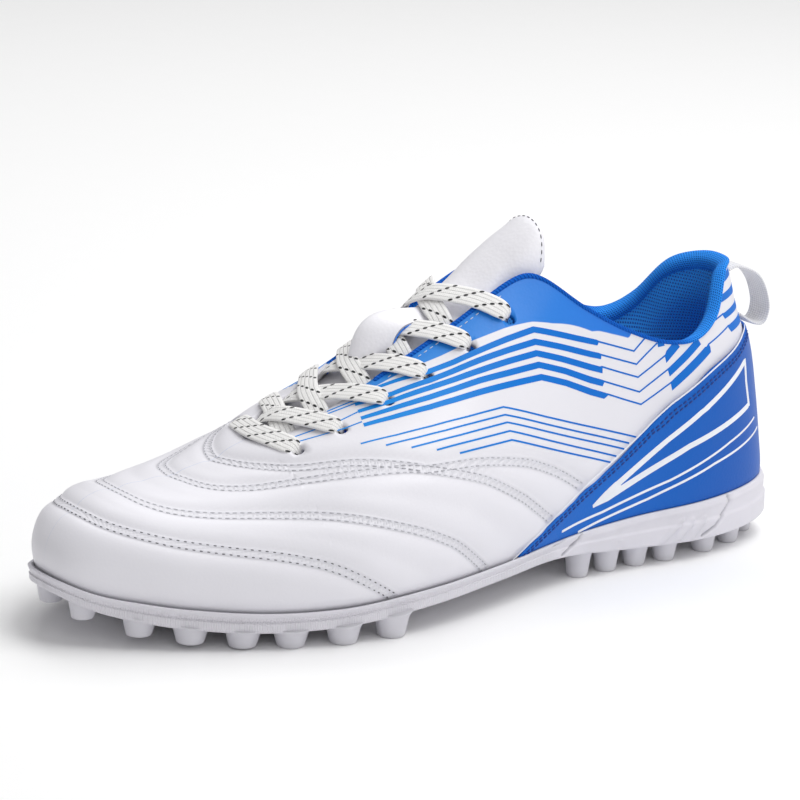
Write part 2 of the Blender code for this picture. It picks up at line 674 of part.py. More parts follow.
def make_pull_loop():
    """Loop of webbing sewn to the back of the heel."""
    out = np.array([p[0] for p in LOOP]) * LOOP_REACH
    z = np.array([p[1] for p in LOOP]) * COLLAR_HEIGHT
    t = np.linspace(0.0, 1.0, len(LOOP))
    fine = np.linspace(0.0, 1.0, 15)
    z = curve(fine, t, z)
    x = curve(fine, t, out) + level(1.0, -1.0, z)[:, 0]
    y = level(1.0, -1.0, z)[:, 1]
    middle = np.stack([x, y, z], -1)
    tangent = np.gradient(middle, axis=0)
    normal = np.stack([-tangent[:, 2], 0 * z, tangent[:, 0]], -1)
    normal = normal / np.linalg.norm(normal, axis=-1, keepdims=True) * LOOP_THICK / 2
    wide = np.array([0.0, LOOP_WIDTH / 2, 0.0])
    rings = np.stack([middle - wide - normal, middle + wide - normal, middle + wide + normal,
                      middle - wide + normal], 1)
    return add_mesh("pull_loop", rings.reshape(-1, 3), tube_faces(len(fine), 4), "webbing_white")


def centre_on_floor(things):
    """Move all points so that the whole shoe stands centred on the origin."""
    bpy.context.view_layer.update()
    clouds = []
    for thing in things:
        flat = np.empty(len(thing.data.vertices) * 3)
        thing.data.vertices.foreach_get("co", flat)
        clouds.append(flat.reshape(-1, 3))
    every = np.concatenate(clouds)
    low, high = every.min(0), every.max(0)
    shift = np.array([(low[0] + high[0]) / 2, (low[1] + high[1]) / 2, low[2]])
    for thing, cloud in zip(things, clouds):
        thing.data.vertices.foreach_set("co", (cloud - shift).ravel())
        thing.data.update()
    return shift


for old in list(bpy.data.objects):
    bpy.data.objects.remove(old, do_unlink=True)

shoe = [make_outsole(), make_upper(), make_heel_panel(), make_tongue(), make_insole()]
shoe += make_laces()
shoe.append(make_pull_loop())
shift = centre_on_floor(shoe)
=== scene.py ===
"""White and blue turf shoe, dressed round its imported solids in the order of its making."""

import bmesh
import bpy
import numpy as np
from mathutils import Matrix, Vector


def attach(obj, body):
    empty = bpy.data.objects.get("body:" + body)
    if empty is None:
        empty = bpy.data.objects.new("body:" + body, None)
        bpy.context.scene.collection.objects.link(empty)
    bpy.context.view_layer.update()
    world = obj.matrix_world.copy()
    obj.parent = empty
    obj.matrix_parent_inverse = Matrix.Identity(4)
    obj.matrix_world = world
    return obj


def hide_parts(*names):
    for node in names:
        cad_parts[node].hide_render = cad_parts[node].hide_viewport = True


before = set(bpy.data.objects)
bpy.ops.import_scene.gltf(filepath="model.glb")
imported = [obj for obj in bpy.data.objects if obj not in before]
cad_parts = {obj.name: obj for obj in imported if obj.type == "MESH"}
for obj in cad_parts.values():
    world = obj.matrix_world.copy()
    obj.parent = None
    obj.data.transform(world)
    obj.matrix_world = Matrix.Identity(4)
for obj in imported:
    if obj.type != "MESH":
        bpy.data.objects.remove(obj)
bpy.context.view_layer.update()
MM = 0.001

# Camera: the photographer's place, low on the outer side and ahead of the shoe, with a long lens.
# The picture's centre line passes beside the aim, so the camera is turned and not shifted.
VIEW_ROUND, VIEW_RISE, VIEW_ROLL = np.radians((-34.538, 16.183, 1.959))
VIEW_DISTANCE = 1.5
VIEW_AIM = np.array([-0.00109, 0.0028, 0.0490])
VIEW_FOCAL = 4350.3
VIEW_OFFSET = np.array([16.17, 41.43])
back = np.array([np.sin(VIEW_ROUND) * np.cos(VIEW_RISE), -np.cos(VIEW_ROUND) * np.cos(VIEW_RISE),
                 np.sin(VIEW_RISE)])
right = np.array([np.cos(VIEW_ROUND), np.sin(VIEW_ROUND), 0.0])
upward = np.cross(back, right)
right, upward = (np.cos(VIEW_ROLL) * right + np.sin(VIEW_ROLL) * upward,
                 np.cos(VIEW_ROLL) * upward - np.sin(VIEW_ROLL) * right)
eye = VIEW_AIM + back * VIEW_DISTANCE
look = back + (VIEW_OFFSET[0] * right - VIEW_OFFSET[1] * upward) / VIEW_FOCAL
look = look / np.linalg.norm(look)
right = np.cross(upward, look)
right = right / np.linalg.norm(right)
camera = bpy.data.objects.new("camera", bpy.data.cameras.new("camera"))
camera.data.sensor_width = 36.0
camera.data.lens = VIEW_FOCAL / 800 * 36.0
camera.data.clip_start = 0.05
camera.data.clip_end = 50.0
camera.matrix_world = Matrix([(*row, place_) for row, place_ in
                              zip(np.stack([right, np.cross(look, right), look], 1), eye)] + [(0, 0, 0, 1)])
bpy.context.scene.collection.objects.link(camera)
bpy.context.scene.camera = camera


# Studio: a white sweep under the shoe, one broad soft light above the heel's outer side and weaker
# ones behind, beside and in front. The sweep is stage, not part of the shoe.
class Amount:
    """One output of a finish; arithmetic on it adds the Math nodes that work it out."""

    def __init__(self, finish, socket):
        self.finish, self.socket = finish, socket

    def math(self, operation, *terms):
        return self.finish.node("Math", {"operation": operation}, *terms)

    def floor(self):
        return self.math("FLOOR", self)

    def __abs__(self):
        return self.math("ABSOLUTE", self)

    def wave(self, length):
        """Sine of the amount, from 0 to 1, once for each length."""
        return self.math("SINE", self * (2 * np.pi / length)) * 0.5 + 0.5

    def ramp(self, start, end):
        """0 below start, 1 above end, smooth between."""
        settings = {"interpolation_type": "SMOOTHSTEP"}
        return self.finish.node("MapRange", settings, self, start, end, 0.0, 1.0)


for name, kind in (("add", "ADD"), ("sub", "SUBTRACT"), ("mul", "MULTIPLY"), ("truediv", "DIVIDE"),
                   ("mod", "FLOORED_MODULO")):
    setattr(Amount, "__%s__" % name, lambda self, other, kind=kind: self.math(kind, self, other))
    setattr(Amount, "__r%s__" % name, lambda self, other, kind=kind: self.math(kind, other, self))


class Finish:
    """A material round one Principled shader; its colours and bumps come from procedural nodes."""

    def __init__(self, name, color, rough, **fixed):
        self.material = bpy.data.materials.new(name)
        self.material.use_nodes = True
        self.material.diffuse_color = (*color, 1.0)
        self.tree = self.material.node_tree
        self.shader = self.tree.nodes["Principled BSDF"]
        self.set("Base Color", (*color, 1.0))
        self.set("Roughness", rough)
        for socket, value in fixed.items():
            self.set(socket.replace("_", " "), value)

    def put(self, socket, value):
        if isinstance(value, Amount):
            self.tree.links.new(value.socket, socket)
        elif value is not None:
            socket.default_value = value

    def set(self, socket, value):
        self.put(self.shader.inputs[socket], value)

    def node(self, kind, settings, *sockets, out=0):
        """Any shader node: its type, its settings, then its inputs in order and the output wanted."""
        made = self.tree.nodes.new("ShaderNode" + kind)
        for key, value in settings.items():
            setattr(made, key, value)
        places = [s for s in made.inputs if s.enabled]
        for socket, value in zip(places, sockets):
            self.put(socket, value)
        outputs = [s for s in made.outputs if s.enabled]
        return Amount(self, outputs[out])

    def here(self):
        """Object coordinates, which are metres on the shoe."""
        found = self.tree.nodes.new("ShaderNodeTexCoord")
        return Amount(self, found.outputs["Object"])

    def axis(self, name):
        return self.node("SeparateXYZ", {}, self.here(), out="XYZ".index(name))

    def mark(self, name):
        """A number kept on the mesh's points."""
        return self.node("Attribute", {"attribute_name": name}, out=2)

    def mix(self, share, first, second):
        """Colour between two, by a share."""
        first, second = ((*c, 1.0) if isinstance(c, tuple) else c for c in (first, second))
        return self.node("Mix", {"data_type": "RGBA"}, share, first, second)

    def noise(self, scale, detail=3.0, rough=0.5):
        return self.node("TexNoise", {}, self.here(), scale, detail, rough)

    def cells(self, scale, feature="F1"):
        return self.node("TexVoronoi", {"feature": feature}, self.here(), scale)

    def bump(self, height, depth):
        """Relief of a height of 0 to 1, depth millimetres deep."""
        made = self.tree.nodes.new("ShaderNodeBump")
        made.inputs["Distance"].default_value = depth * MM
        self.put(made.inputs["Height"], height)
        self.set("Normal", Amount(self, made.outputs[0]))


def mottled(name, color, rough, dark, light, scale, detail, depth=None, **fixed):
    """Finish mottled from dark to light by a noise, which is its relief too where a depth is given."""
    finish = Finish(name, color, rough, **fixed)
    noise = finish.noise(scale, detail)
    finish.set("Base Color", finish.mix(noise, dark, light))
    if depth:
        finish.bump(noise, depth)
    return finish


sweep_white = mottled("sweep_white", (0.93, 0.93, 0.93), 0.6, (0.95, 0.95, 0.95), (0.96, 0.96, 0.96),
                      60.0, 2.0, Specular_IOR_Level=0.1)
SWEEP_HALF = 3.0
floor = bpy.data.objects.new("sweep", bpy.data.meshes.new("sweep"))
floor.data.from_pydata([(-SWEEP_HALF, -SWEEP_HALF, 0), (SWEEP_HALF, -SWEEP_HALF, 0),
                        (SWEEP_HALF, SWEEP_HALF, 0), (-SWEEP_HALF, SWEEP_HALF, 0)], [], [(0, 1, 2, 3)])
floor.data.materials.append(sweep_white.material)
bpy.context.scene.collection.objects.link(floor)

# Lights: name, place, aim, width, height, power.
LIGHTS = (
    ("key_light", (0.45, -0.45, 1.55), (0.0, 0.0, 0.04), 1.1, 1.1, 16.0),
    ("top_light", (0.6, 0.7, 1.4), (0.0, 0.0, 0.04), 1.4, 1.0, 10.0),
    ("side_light", (1.0, -1.3, 0.6), (0.0, 0.0, 0.05), 1.2, 0.8, 2.5),
    ("front_light", (-0.5, -1.4, 0.9), (0.0, 0.0, 0.05), 1.2, 1.0, 3.2),
)
for name, spot, aim, width, height, power in LIGHTS:
    lamp = bpy.data.lights.new(name, "AREA")
    lamp.shape = "RECTANGLE"
    lamp.size, lamp.size_y, lamp.energy = width, height, power
    thing = bpy.data.objects.new(name, lamp)
    facing = (Vector(spot) - Vector(aim)).to_track_quat("Z", "Y").to_matrix().to_4x4()
    thing.matrix_world = Matrix.Translation(spot) @ facing
    bpy.context.scene.collection.objects.link(thing)
world = bpy.data.worlds.new("studio")
bpy.context.scene.world = world
world.use_nodes = True
world.node_tree.nodes["Background"].inputs["Color"].default_value = (1.0, 1.0, 1.0, 1.0)
world.node_tree.nodes["Background"].inputs["Strength"].default_value = 0.33
bpy.context.scene.view_settings.view_transform = "Standard"

# Upper: white synthetic leather lasted over one form, quilted in front by double seams, with the
# throat and the collar cut open. It is one skin with its lining, cemented into the sole's cup.
# All forms are in millimetres along one last: a run of 0 to 1 from toe to heel, a turn from the ridge.
SHIFT = np.array([1.090, -2.800, 0.0])
UPPER_LENGTH, BALL_WIDTH, INSTEP_HEIGHT, COLLAR_HEIGHT, SIDE_HEIGHT = 286.0, 106.0, 117.0, 104.0, 14.0
HEEL_LEAN, TOE_BULGE, TOE_BULGE_HEIGHT, CUP_DEPTH = 14.0, 3.0, 30.0, 3.3
UPPER_WALL, COLLAR_PAD, PAD_DEPTH, PAD_FULL, PAD_ROLL = 2.2, 4.2, 42.0, 16.0, 12.0
TUCK = np.radians(24.0)
THROAT_START, THROAT_HALF, THROAT_FLARE, THROAT_ROUND, CORNER_SOFT = 0.268, 12.0, 6.0, 0.05, 0.06
EYELET_RADIUS, EYELET_ANGLE = 2.3, 0.22
EYELET_PLACES = (0.290, 0.341, 0.402, 0.455, 0.517, 0.575)
TOE_ROUND, TOE_POWER, HEEL_ROUND, HEEL_POWER = 0.25, 2.25, 0.20, 2.15
TOP_ROUND, TOP_POWER, TOE_RUN, HEEL_RUN, SLOPE_STEP = 0.10, 2.3, 0.30, 0.78, 1e-3

# Sections of the last, toe to heel. Widths are shares of the ball width, heights of the instep height.
SECTION_COLUMNS = ("at", "half_width", "centre", "crown", "ridge", "wall_power", "top_power")
SECTIONS = np.array([
    (0.00, 0.316, 0.028, 0.000, 0.397, 2.3, 2.3),
    (0.05, 0.358, 0.057, 0.009, 0.397, 2.3, 2.3),
    (0.12, 0.404, 0.049, 0.024, 0.399, 2.2, 2.3),
    (0.22, 0.464, 0.012, 0.042, 0.440, 2.1, 2.2),
    (0.32, 0.494, -0.031, 0.057, 0.560, 2.0, 2.0),
    (0.42, 0.468, -0.049, 0.061, 0.704, 1.9, 1.8),
    (0.52, 0.406, -0.040, 0.058, 0.859, 1.9, 1.7),
    (0.60, 0.355, -0.017, 0.051, 0.994, 2.0, 1.7),
    (0.66, 0.323, -0.002, 0.040, 1.083, 2.1, 1.8),
    (0.75, 0.300, 0.002, 0.025, 1.154, 2.2, 2.0),
    (0.85, 0.289, -0.008, 0.010, 1.168, 2.3, 2.2),
    (1.00, 0.279, -0.014, 0.000, 1.158, 2.3, 2.2),
])

# Collar height along the shoe, as a share of the collar height at the back.
COLLAR_COLUMNS = ("at", "lateral", "medial")
COLLAR = np.array([
    (0.50, 1.055, 1.055),
    (0.57, 1.060, 1.060),
    (0.61, 1.062, 1.068),
    (0.68, 0.938, 0.945),
    (0.75, 0.841, 0.847),
    (0.81, 0.788, 0.792),
    (0.86, 0.786, 0.762),
    (0.91, 0.850, 0.815),
    (0.96, 0.985, 0.938),
    (1.00, 0.985, 0.985),
])

# Line of the heel's back: height as a share of the collar height, shift as a share of the lean.
HEEL_LINE = np.array([
    (0.00, 0.18),
    (0.11, 0.08),
    (0.23, 0.12),
    (0.36, -0.03),
    (0.52, -0.24),
    (0.68, -0.49),
    (0.86, -0.97),
    (1.05, -1.26),
    (1.40, -1.36),
])

# Rim of the sole, height of its side and floor under the studs, as shares of the side height.
SOLE_COLUMNS = ("at", "rim", "side", "ground")
SOLE = np.array([
    (0.00, 1.650, 0.380, 0.860),
    (0.03, 1.393, 0.430, 0.600),
    (0.08, 1.179, 0.490, 0.280),
    (0.15, 1.014, 0.520, 0.090),
    (0.22, 0.945, 0.510, 0.000),
    (0.28, 0.960, 0.500, 0.000),
    (0.36, 1.070, 0.490, 0.000),
    (0.45, 1.136, 0.450, 0.000),
    (0.55, 1.171, 0.420, 0.000),
    (0.62, 1.236, 0.460, 0.000),
    (0.68, 1.307, 0.620, 0.000),
    (0.75, 1.407, 0.830, 0.000),
    (0.85, 1.493, 0.990, 0.000),
    (1.00, 1.621, 1.060, 0.000),
])


def curve(x, xs, ys):
    """Value at x of the smooth curve through the points (xs, ys)."""
    x, xs, ys = np.asarray(x, float), np.asarray(xs, float), np.asarray(ys, float)
    h = np.diff(xs)
    d = np.diff(ys) / h
    m = np.concatenate([d[:1], (d[:-1] * h[1:] + d[1:] * h[:-1]) / (h[:-1] + h[1:]), d[-1:]])
    k = np.clip(np.searchsorted(xs, x, side="right") - 1, 0, len(xs) - 2)
    t = np.clip((x - xs[k]) / h[k], 0.0, 1.0)
    low = ys[k] * (1 + 2 * t) * (1 - t) ** 2 + m[k] * h[k] * t * (1 - t) ** 2
    return low + ys[k + 1] * t * t * (3 - 2 * t) + m[k + 1] * h[k] * t * t * (t - 1)


def column(at, name, table=SECTIONS, names=SECTION_COLUMNS):
    """One named column of a table at the share of the length."""
    return curve(at, table[:, 0], table[:, names.index(name)])


def sole_column(at, name):
    """Height in millimetres from one named column of the sole's table."""
    return column(at, name, SOLE, SOLE_COLUMNS) * SIDE_HEIGHT


def place(run):
    """Share of the length for a run of 0 to 1, with the stations closed up at both round ends."""
    run = np.asarray(run, float)
    toe = np.clip((TOE_RUN - run) / TOE_RUN, 0.0, 1.0) * np.pi / 2
    heel = np.clip((run - HEEL_RUN) / (1 - HEEL_RUN), 0.0, 1.0) * np.pi / 2
    middle = TOE_ROUND + (1 - HEEL_ROUND - TOE_ROUND) * (run - TOE_RUN) / (HEEL_RUN - TOE_RUN)
    at = np.where(run < TOE_RUN, TOE_ROUND * (1 - np.sin(toe)), middle)
    return np.where(run > HEEL_RUN, 1 - HEEL_ROUND + HEEL_ROUND * np.sin(heel), at)


def run_at(at):
    """Run that gives the share of the length."""
    runs = np.linspace(0.0, 1.0, 2001)
    return np.interp(at, place(runs), runs)


def rounding(u, power):
    """Quarter of a rounded square: 1 at u = 0 and 0 at u = 1."""
    return np.maximum(1.0 - np.clip(u, 0.0, 1.0) ** power, 0.0) ** (1.0 / power)


def heights(at, inset=0.0):
    """Feather height, height of the ridge above it and the section's wall power."""
    feather = sole_column(at, "rim") - CUP_DEPTH
    ridge = column(at, "ridge") * INSTEP_HEIGHT - inset
    return feather, (ridge - feather) * rounding(1 - at / TOP_ROUND, TOP_POWER), column(at, "wall_power")


def lean(at, z, feather):
    """Shift along the shoe from the line of the heel's back and the bulge of the toe."""
    back = curve(z / COLLAR_HEIGHT, HEEL_LINE[:, 0], HEEL_LINE[:, 1]) * HEEL_LEAN
    h = np.clip((z - feather) / TOE_BULGE_HEIGHT, 0.0, 1.0)
    toe = TOE_BULGE * 4 * h * (1 - h) * np.clip(1 - at / 0.2, 0.0, 1.0)
    return np.clip((at - 0.6) / 0.4, 0.0, 1.0) ** 1.5 * back - toe


def across(at, side, angle, inset):
    """Distance from the centre plane at an angle up the section."""
    ends = rounding(1 - at / TOE_ROUND, TOE_POWER)
    ends = ends * rounding((at - 1 + HEEL_ROUND) / HEEL_ROUND, HEEL_POWER)
    half = column(at, "half_width") * BALL_WIDTH - inset
    centre = column(at, "centre") * BALL_WIDTH
    crown = centre + column(at, "crown") * BALL_WIDTH * ends
    turn = np.abs(np.cos(angle)) ** (2.0 / column(at, "top_power"))
    return crown + (centre + side * half * ends - crown) * turn


def last(run, side, angle, inset=0.0):
    """Point on the last, inset inwards: -TUCK at the feather edge, pi/2 at the ridge."""
    run, side, angle, inset = np.broadcast_arrays(run, side, angle, inset)
    at = place(run)
    feather, rise, power = heights(at, inset)
    low = np.sin(TUCK) ** (2.0 / power)
    high = np.sign(np.sin(angle)) * np.abs(np.sin(angle)) ** (2.0 / power)
    z = feather + rise * (high + low) / (1 + low)
    x = (at - 0.5) * UPPER_LENGTH + inset * (1 - 2 * at) + lean(at, z, feather)
    return np.stack([x, across(at, side, angle, inset), z], -1)


def angle_at(run, z, inset=0.0):
    """Angle at which the section of the last reaches the height z."""
    at = place(run)
    feather, rise, power = heights(at, inset)
    low = np.sin(TUCK) ** (2.0 / power)
    share = np.clip((z - feather) / np.maximum(rise, 1e-6), 0.0, 1.0) * (1 + low) - low
    return np.sign(share) * np.arcsin(np.abs(share) ** (power / 2.0))


def angle_off(run, side, gap, inset=0.0):
    """Angle at which the section is the distance gap away from its ridge."""
    at = place(run)
    reach = (column(at, "half_width") - side * column(at, "crown")) * BALL_WIDTH - inset
    return np.arccos(np.clip(gap / reach, 0.0, 1.0) ** (column(at, "top_power") / 2.0))


def level(run, side, z, inset=0.0):
    """Point of the last's outline at the height z, also where the last is lower than z."""
    run, side, z = np.broadcast_arrays(run, side, z)
    at = place(run)
    feather = heights(at)[0]
    x = (at - 0.5) * UPPER_LENGTH + inset * (1 - 2 * at) + lean(at, np.maximum(z, feather), feather)
    return np.stack([x, across(at, side, angle_at(run, z, inset), inset), z], -1)


def top_angle(run, side):
    """Angle of the upper's edge: ridge before the throat, then throat, then collar; the corner between
    the two is rounded as minus the log of the sum of the exponents of minus both."""
    run, side = np.broadcast_arrays(run, side)
    at = place(run)
    u = np.clip((at - THROAT_START) / THROAT_ROUND, 0.0, 1.0)
    gap = THROAT_HALF * np.sqrt(1 - (1 - u) ** 2)
    gap = gap + THROAT_FLARE * np.clip((at - THROAT_START - THROAT_ROUND) / 0.3, 0.0, 1.0)
    throat = angle_off(run, side, gap)
    outer_top, inner_top = (column(at, name, COLLAR, COLLAR_COLUMNS) for name in COLLAR_COLUMNS[1:])
    collar = angle_at(run, np.where(side < 0, outer_top, inner_top) * COLLAR_HEIGHT)
    soft = -CORNER_SOFT * np.log(np.exp(-throat / CORNER_SOFT) + np.exp(-collar / CORNER_SOFT))
    edge = np.where(at < 0.45, throat, np.minimum(soft, throat))
    return np.where(at <= THROAT_START + 1e-5, np.pi / 2, edge)


def smooth_step(x, start, end):
    """0 before start, 1 after end."""
    t = np.clip((x - start) / (end - start), 0.0, 1.0)
    return t * t * (3 - 2 * t)


def wall_inset(run, angle, top):
    """Thickness of the upper: the plain wall, with a pad under the collar."""
    down = (top - angle) * 0.52 * BALL_WIDTH
    pad = smooth_step(place(run), 0.62, 0.72) * smooth_step(-down, -PAD_DEPTH, -PAD_FULL)
    return UPPER_WALL + COLLAR_PAD * pad * (0.25 + 0.75 * smooth_step(down, 0.0, PAD_ROLL))


def unit(ways):
    """Ways scaled to length 1."""
    return ways / np.linalg.norm(ways, axis=-1, keepdims=True)


def length_along(line):
    """Length of a line from its start to each of its points."""
    return np.concatenate([[0], np.cumsum(np.linalg.norm(np.diff(line, axis=0), axis=1))])


def on_last(run, turn):
    """Point and outward normal of the bare last; the normal is the cross of steps along run and turn."""
    run, turn = np.broadcast_arrays(run, turn)

    def at(r, t):
        return last(r, np.where(t < 0, -1.0, 1.0), np.pi / 2 - np.abs(t))

    along = at(run + SLOPE_STEP, turn) - at(run - SLOPE_STEP, turn)
    return at(run, turn), unit(np.cross(along, at(run, turn + SLOPE_STEP) - at(run, turn - SLOPE_STEP)))


def walk(run, turn, offset):
    """Run and turn after an offset in millimetres: least squares on the last's two slopes."""
    here = on_last(run, turn)[0]
    a = (on_last(run + SLOPE_STEP, turn)[0] - here) / SLOPE_STEP
    b = (on_last(run, turn + SLOPE_STEP)[0] - here) / SLOPE_STEP
    aa, ab, bb = (a * a).sum(-1), (a * b).sum(-1), (b * b).sum(-1)
    av, bv = (a * offset).sum(-1), (b * offset).sum(-1)
    det = aa * bb - ab * ab
    return run + (av * bb - bv * ab) / det, turn + (bv * aa - av * ab) / det


def trace(knots, gap):
    """Run and turn (and any further columns) along knots about gap millimetres apart: each step is the
    point of the last nearest to the straight chord, found by walking on its slopes three times."""
    knots = np.array(knots, float)
    knots[:, 1] = np.radians(knots[:, 1])
    spots = on_last(knots[:, 0], knots[:, 1])[0]
    lengths = np.linalg.norm(np.diff(spots, axis=0), axis=1)
    counts = np.maximum(np.ceil(lengths / gap).astype(int), 1)
    places = np.concatenate([k + np.arange(n) / n for k, n in enumerate(counts)] + [[len(counts)]])
    line, chord = (np.stack([np.interp(places, np.arange(len(knots)), c) for c in table.T], 1)
                   for table in (knots, spots))
    for _ in range(3):
        step = walk(line[:, 0], line[:, 1], chord - on_last(line[:, 0], line[:, 1])[0])
        line[1:-1, :2] = np.stack(step, 1)[1:-1]
    return line


def smooth(line, times):
    """Line with its run and turn averaged with the neighbours again and again; the ends stay."""
    line = line.copy()
    for _ in range(times):
        line[1:-1, :2] = 0.5 * line[1:-1, :2] + 0.25 * (line[:-2, :2] + line[2:, :2])
    return line


def both_sides(line):
    """The line as it is on the outer side, and mirrored to the inner side."""
    return line, line * np.array([1, -1, 1])[:line.shape[1]]


# Centre lines of the quilting seams on the outer side, from the ridge to the sole: run, turn in degrees.
SEAMS = (
    ((0.1105, 0), (0.1119, -18.5), (0.1211, -35.1), (0.1395, -46.2), (0.1580, -52.9), (0.1786, -56.4),
     (0.1979, -59.6), (0.2179, -62.1), (0.2369, -64.8), (0.2559, -67.7), (0.2754, -71.3),
     (0.2934, -76.8), (0.3138, -82.4), (0.3279, -87.5), (0.3432, -92.8), (0.3627, -100.6),
     (0.3864, -109.2)),
    ((0.1715, 0), (0.1743, -18.5), (0.1870, -25.8), (0.1997, -32.4), (0.2188, -35.6), (0.2369, -38.8),
     (0.2533, -40.8), (0.2691, -43.4), (0.2871, -47.7), (0.3055, -52.5), (0.3263, -57.4),
     (0.3424, -62.1), (0.3596, -66.7), (0.3784, -72.0), (0.3990, -77.2), (0.4216, -82.5),
     (0.4395, -87.6), (0.4594, -93.4), (0.4833, -101.8), (0.5117, -110.0)),
    ((0.2385, 0), (0.2454, -15.0), (0.2619, -21.6), (0.2725, -24.5), (0.2828, -27.6), (0.2969, -30.6),
     (0.3124, -33.9), (0.3283, -37.2), (0.3443, -40.8), (0.3610, -44.3), (0.3786, -47.8),
     (0.3974, -51.5), (0.4174, -55.1), (0.4324, -58.9), (0.4483, -62.6), (0.4747, -68.8),
     (0.5048, -75.3), (0.5289, -82.0), (0.5561, -89.2), (0.5841, -96.9), (0.6135, -103.5)),
    ((0.2815, 0), (0.2870, -8.5), (0.2972, -16.7), (0.3084, -22.5), (0.3206, -28.1), (0.3356, -32.1),
     (0.3512, -35.9), (0.3676, -39.7), (0.3830, -44.5), (0.3997, -49.3), (0.4157, -53.9),
     (0.4290, -57.4)),
    ((0.4330, -59.0), (0.4553, -62.4), (0.4777, -65.5), (0.5016, -68.7), (0.5333, -74.3),
     (0.5680, -80.4), (0.5942, -86.3), (0.6214, -91.4), (0.6582, -98.3)),
)
SEAM_HALF = 1.25
SEAM_LINES = [side for seam in SEAMS for side in both_sides(smooth(trace(seam, 1.0), 60))]
SEAM_SPOTS = np.concatenate([on_last(line[:, 0], line[:, 1])[0] for line in SEAM_LINES])
QUILT_RISE, QUILT_NEAR, QUILT_FAR, WELT_RISE, WELT_HALF, CHANNEL_OFF = 1.5, 4.6, 11.5, 0.25, 1.1, 1.6

# Soft folds pressed in: run, turn, length of the fold along run, width across, depth.
FOLDS = (
    (0.500, -34.0, 0.020, 9.0, -0.30), (0.452, -30.0, 0.018, 7.0, 0.25), (0.560, -52.0, 0.050, 8.0, 0.25),
    (0.640, -78.0, 0.060, 9.0, 0.25), (0.600, -38.0, 0.028, 8.0, -0.35),
)


def from_seam(points):
    """Distance of points to the nearest spot on a seam's centre line."""
    flat = points.reshape(-1, 3)
    far = [((part[:, None] - SEAM_SPOTS[None]) ** 2).sum(-1).min(1)
           for part in np.array_split(flat, 1 + len(flat) // 2000)]
    return np.sqrt(np.concatenate(far)).reshape(points.shape[:-1])


def puff(run, turn, points):
    """Height of the padding: none on a seam, full a few millimetres off it, fading far off and at the
    rim; a welt stands between the seam's two rows and a channel lies under each row."""
    far = from_seam(points)
    rise = QUILT_RISE * (1 - np.exp(-(far / QUILT_NEAR) ** 2)) * np.exp(-(far / QUILT_FAR) ** 2)
    rise = rise + WELT_RISE * (np.exp(-(far / WELT_HALF) ** 2) - np.exp(-(far - CHANNEL_OFF) ** 2))
    for fold_run, fold_turn, long, wide, deep in FOLDS:
        out = ((run - fold_run) / long) ** 2 + ((np.degrees(np.abs(turn)) + fold_turn) / wide) ** 2
        rise = rise + deep * np.exp(-out)
    return rise * smooth_step(points[..., 2] - sole_column(place(run), "rim"), 0.5, 5.0)


def skin(run, turn, lift=0.0):
    """Point of the leather's face and its normal: the last, moved out by the padding and a lift."""
    run, turn = np.broadcast_arrays(run, turn)
    point, normal = on_last(run, turn)
    return point + normal * (puff(run, turn, point) + lift)[..., None], normal


def quad_rows(rows, columns, start=0, close=False):
    """Corners of a grid's quads as one array; close joins the last column to the first."""
    i, j = np.meshgrid(np.arange(rows - 1), np.arange(columns if close else columns - 1), indexing="ij")
    a = start + i * columns + j
    b = start + i * columns + (j + 1) % columns
    return np.stack([a, b, b + columns, a + columns], -1).reshape(-1, 4)


def add_piece(name, points, quads, finishes, parts=None, marks=None, fans=()):
    """Object of points in millimetres on the last: coincident points are joined, collapsed quads
    become triangles, and a closed body's faces are turned outwards."""
    points = np.array(points, float).reshape(-1, 3)
    keys, first, index = np.unique(np.round(points, 3), axis=0, return_index=True, return_inverse=True)
    corners = index.reshape(-1)[quads]
    same = corners == np.roll(corners, 1, axis=1)
    parts = np.zeros(len(quads), int) if parts is None else np.asarray(parts)
    whole, three = same.sum(1) == 0, same.sum(1) == 1
    faces = corners[whole].tolist() + corners[three][~same[three]].reshape(-1, 3).tolist()
    faces += [index.reshape(-1)[list(fan)].tolist() for fan in fans]
    mesh = bpy.data.meshes.new(name)
    mesh.from_pydata(((keys - SHIFT) * MM).tolist(), [], faces)
    kinds = np.concatenate([parts[whole], parts[three], np.zeros(len(fans), int)])
    mesh.polygons.foreach_set("material_index", kinds.astype(np.int32))
    for mark, values in (marks or {}).items():
        kept = mesh.attributes.new(mark, "FLOAT", "POINT")
        kept.data.foreach_set("value", np.asarray(values, np.float32).reshape(-1)[first])
    for finish in finishes:
        mesh.materials.append(finish.material)
    body = bmesh.new()
    body.from_mesh(mesh)
    bmesh.ops.recalc_face_normals(body, faces=body.faces)
    body.to_mesh(mesh)
    body.free()
    mesh.polygons.foreach_set("use_smooth", np.ones(len(mesh.polygons), bool))
    thing = bpy.data.objects.new(name, mesh)
    bpy.context.scene.collection.objects.link(thing)
    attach(thing, "root")
    return thing


def eyelet(at, side):
    """Run and signed turn of an eyelet's centre."""
    run = float(run_at(at))
    return run, side * float(np.pi / 2 - top_angle(run, side) + EYELET_ANGLE)


front = run_at(THROAT_START + 0.05 * (1 - np.cos(np.linspace(0, np.pi / 2, 17))))
STATIONS = np.concatenate([np.linspace(0, front[0], 96)[:-1], front, np.linspace(front[-1], 0.78, 146)[1:],
                           np.linspace(0.78, 1.0, 56)[1:]])
LINES, LINING_LINE = 58, 46
BINDING_START = 0.432
GIRTH_PER_TURN = 45.0


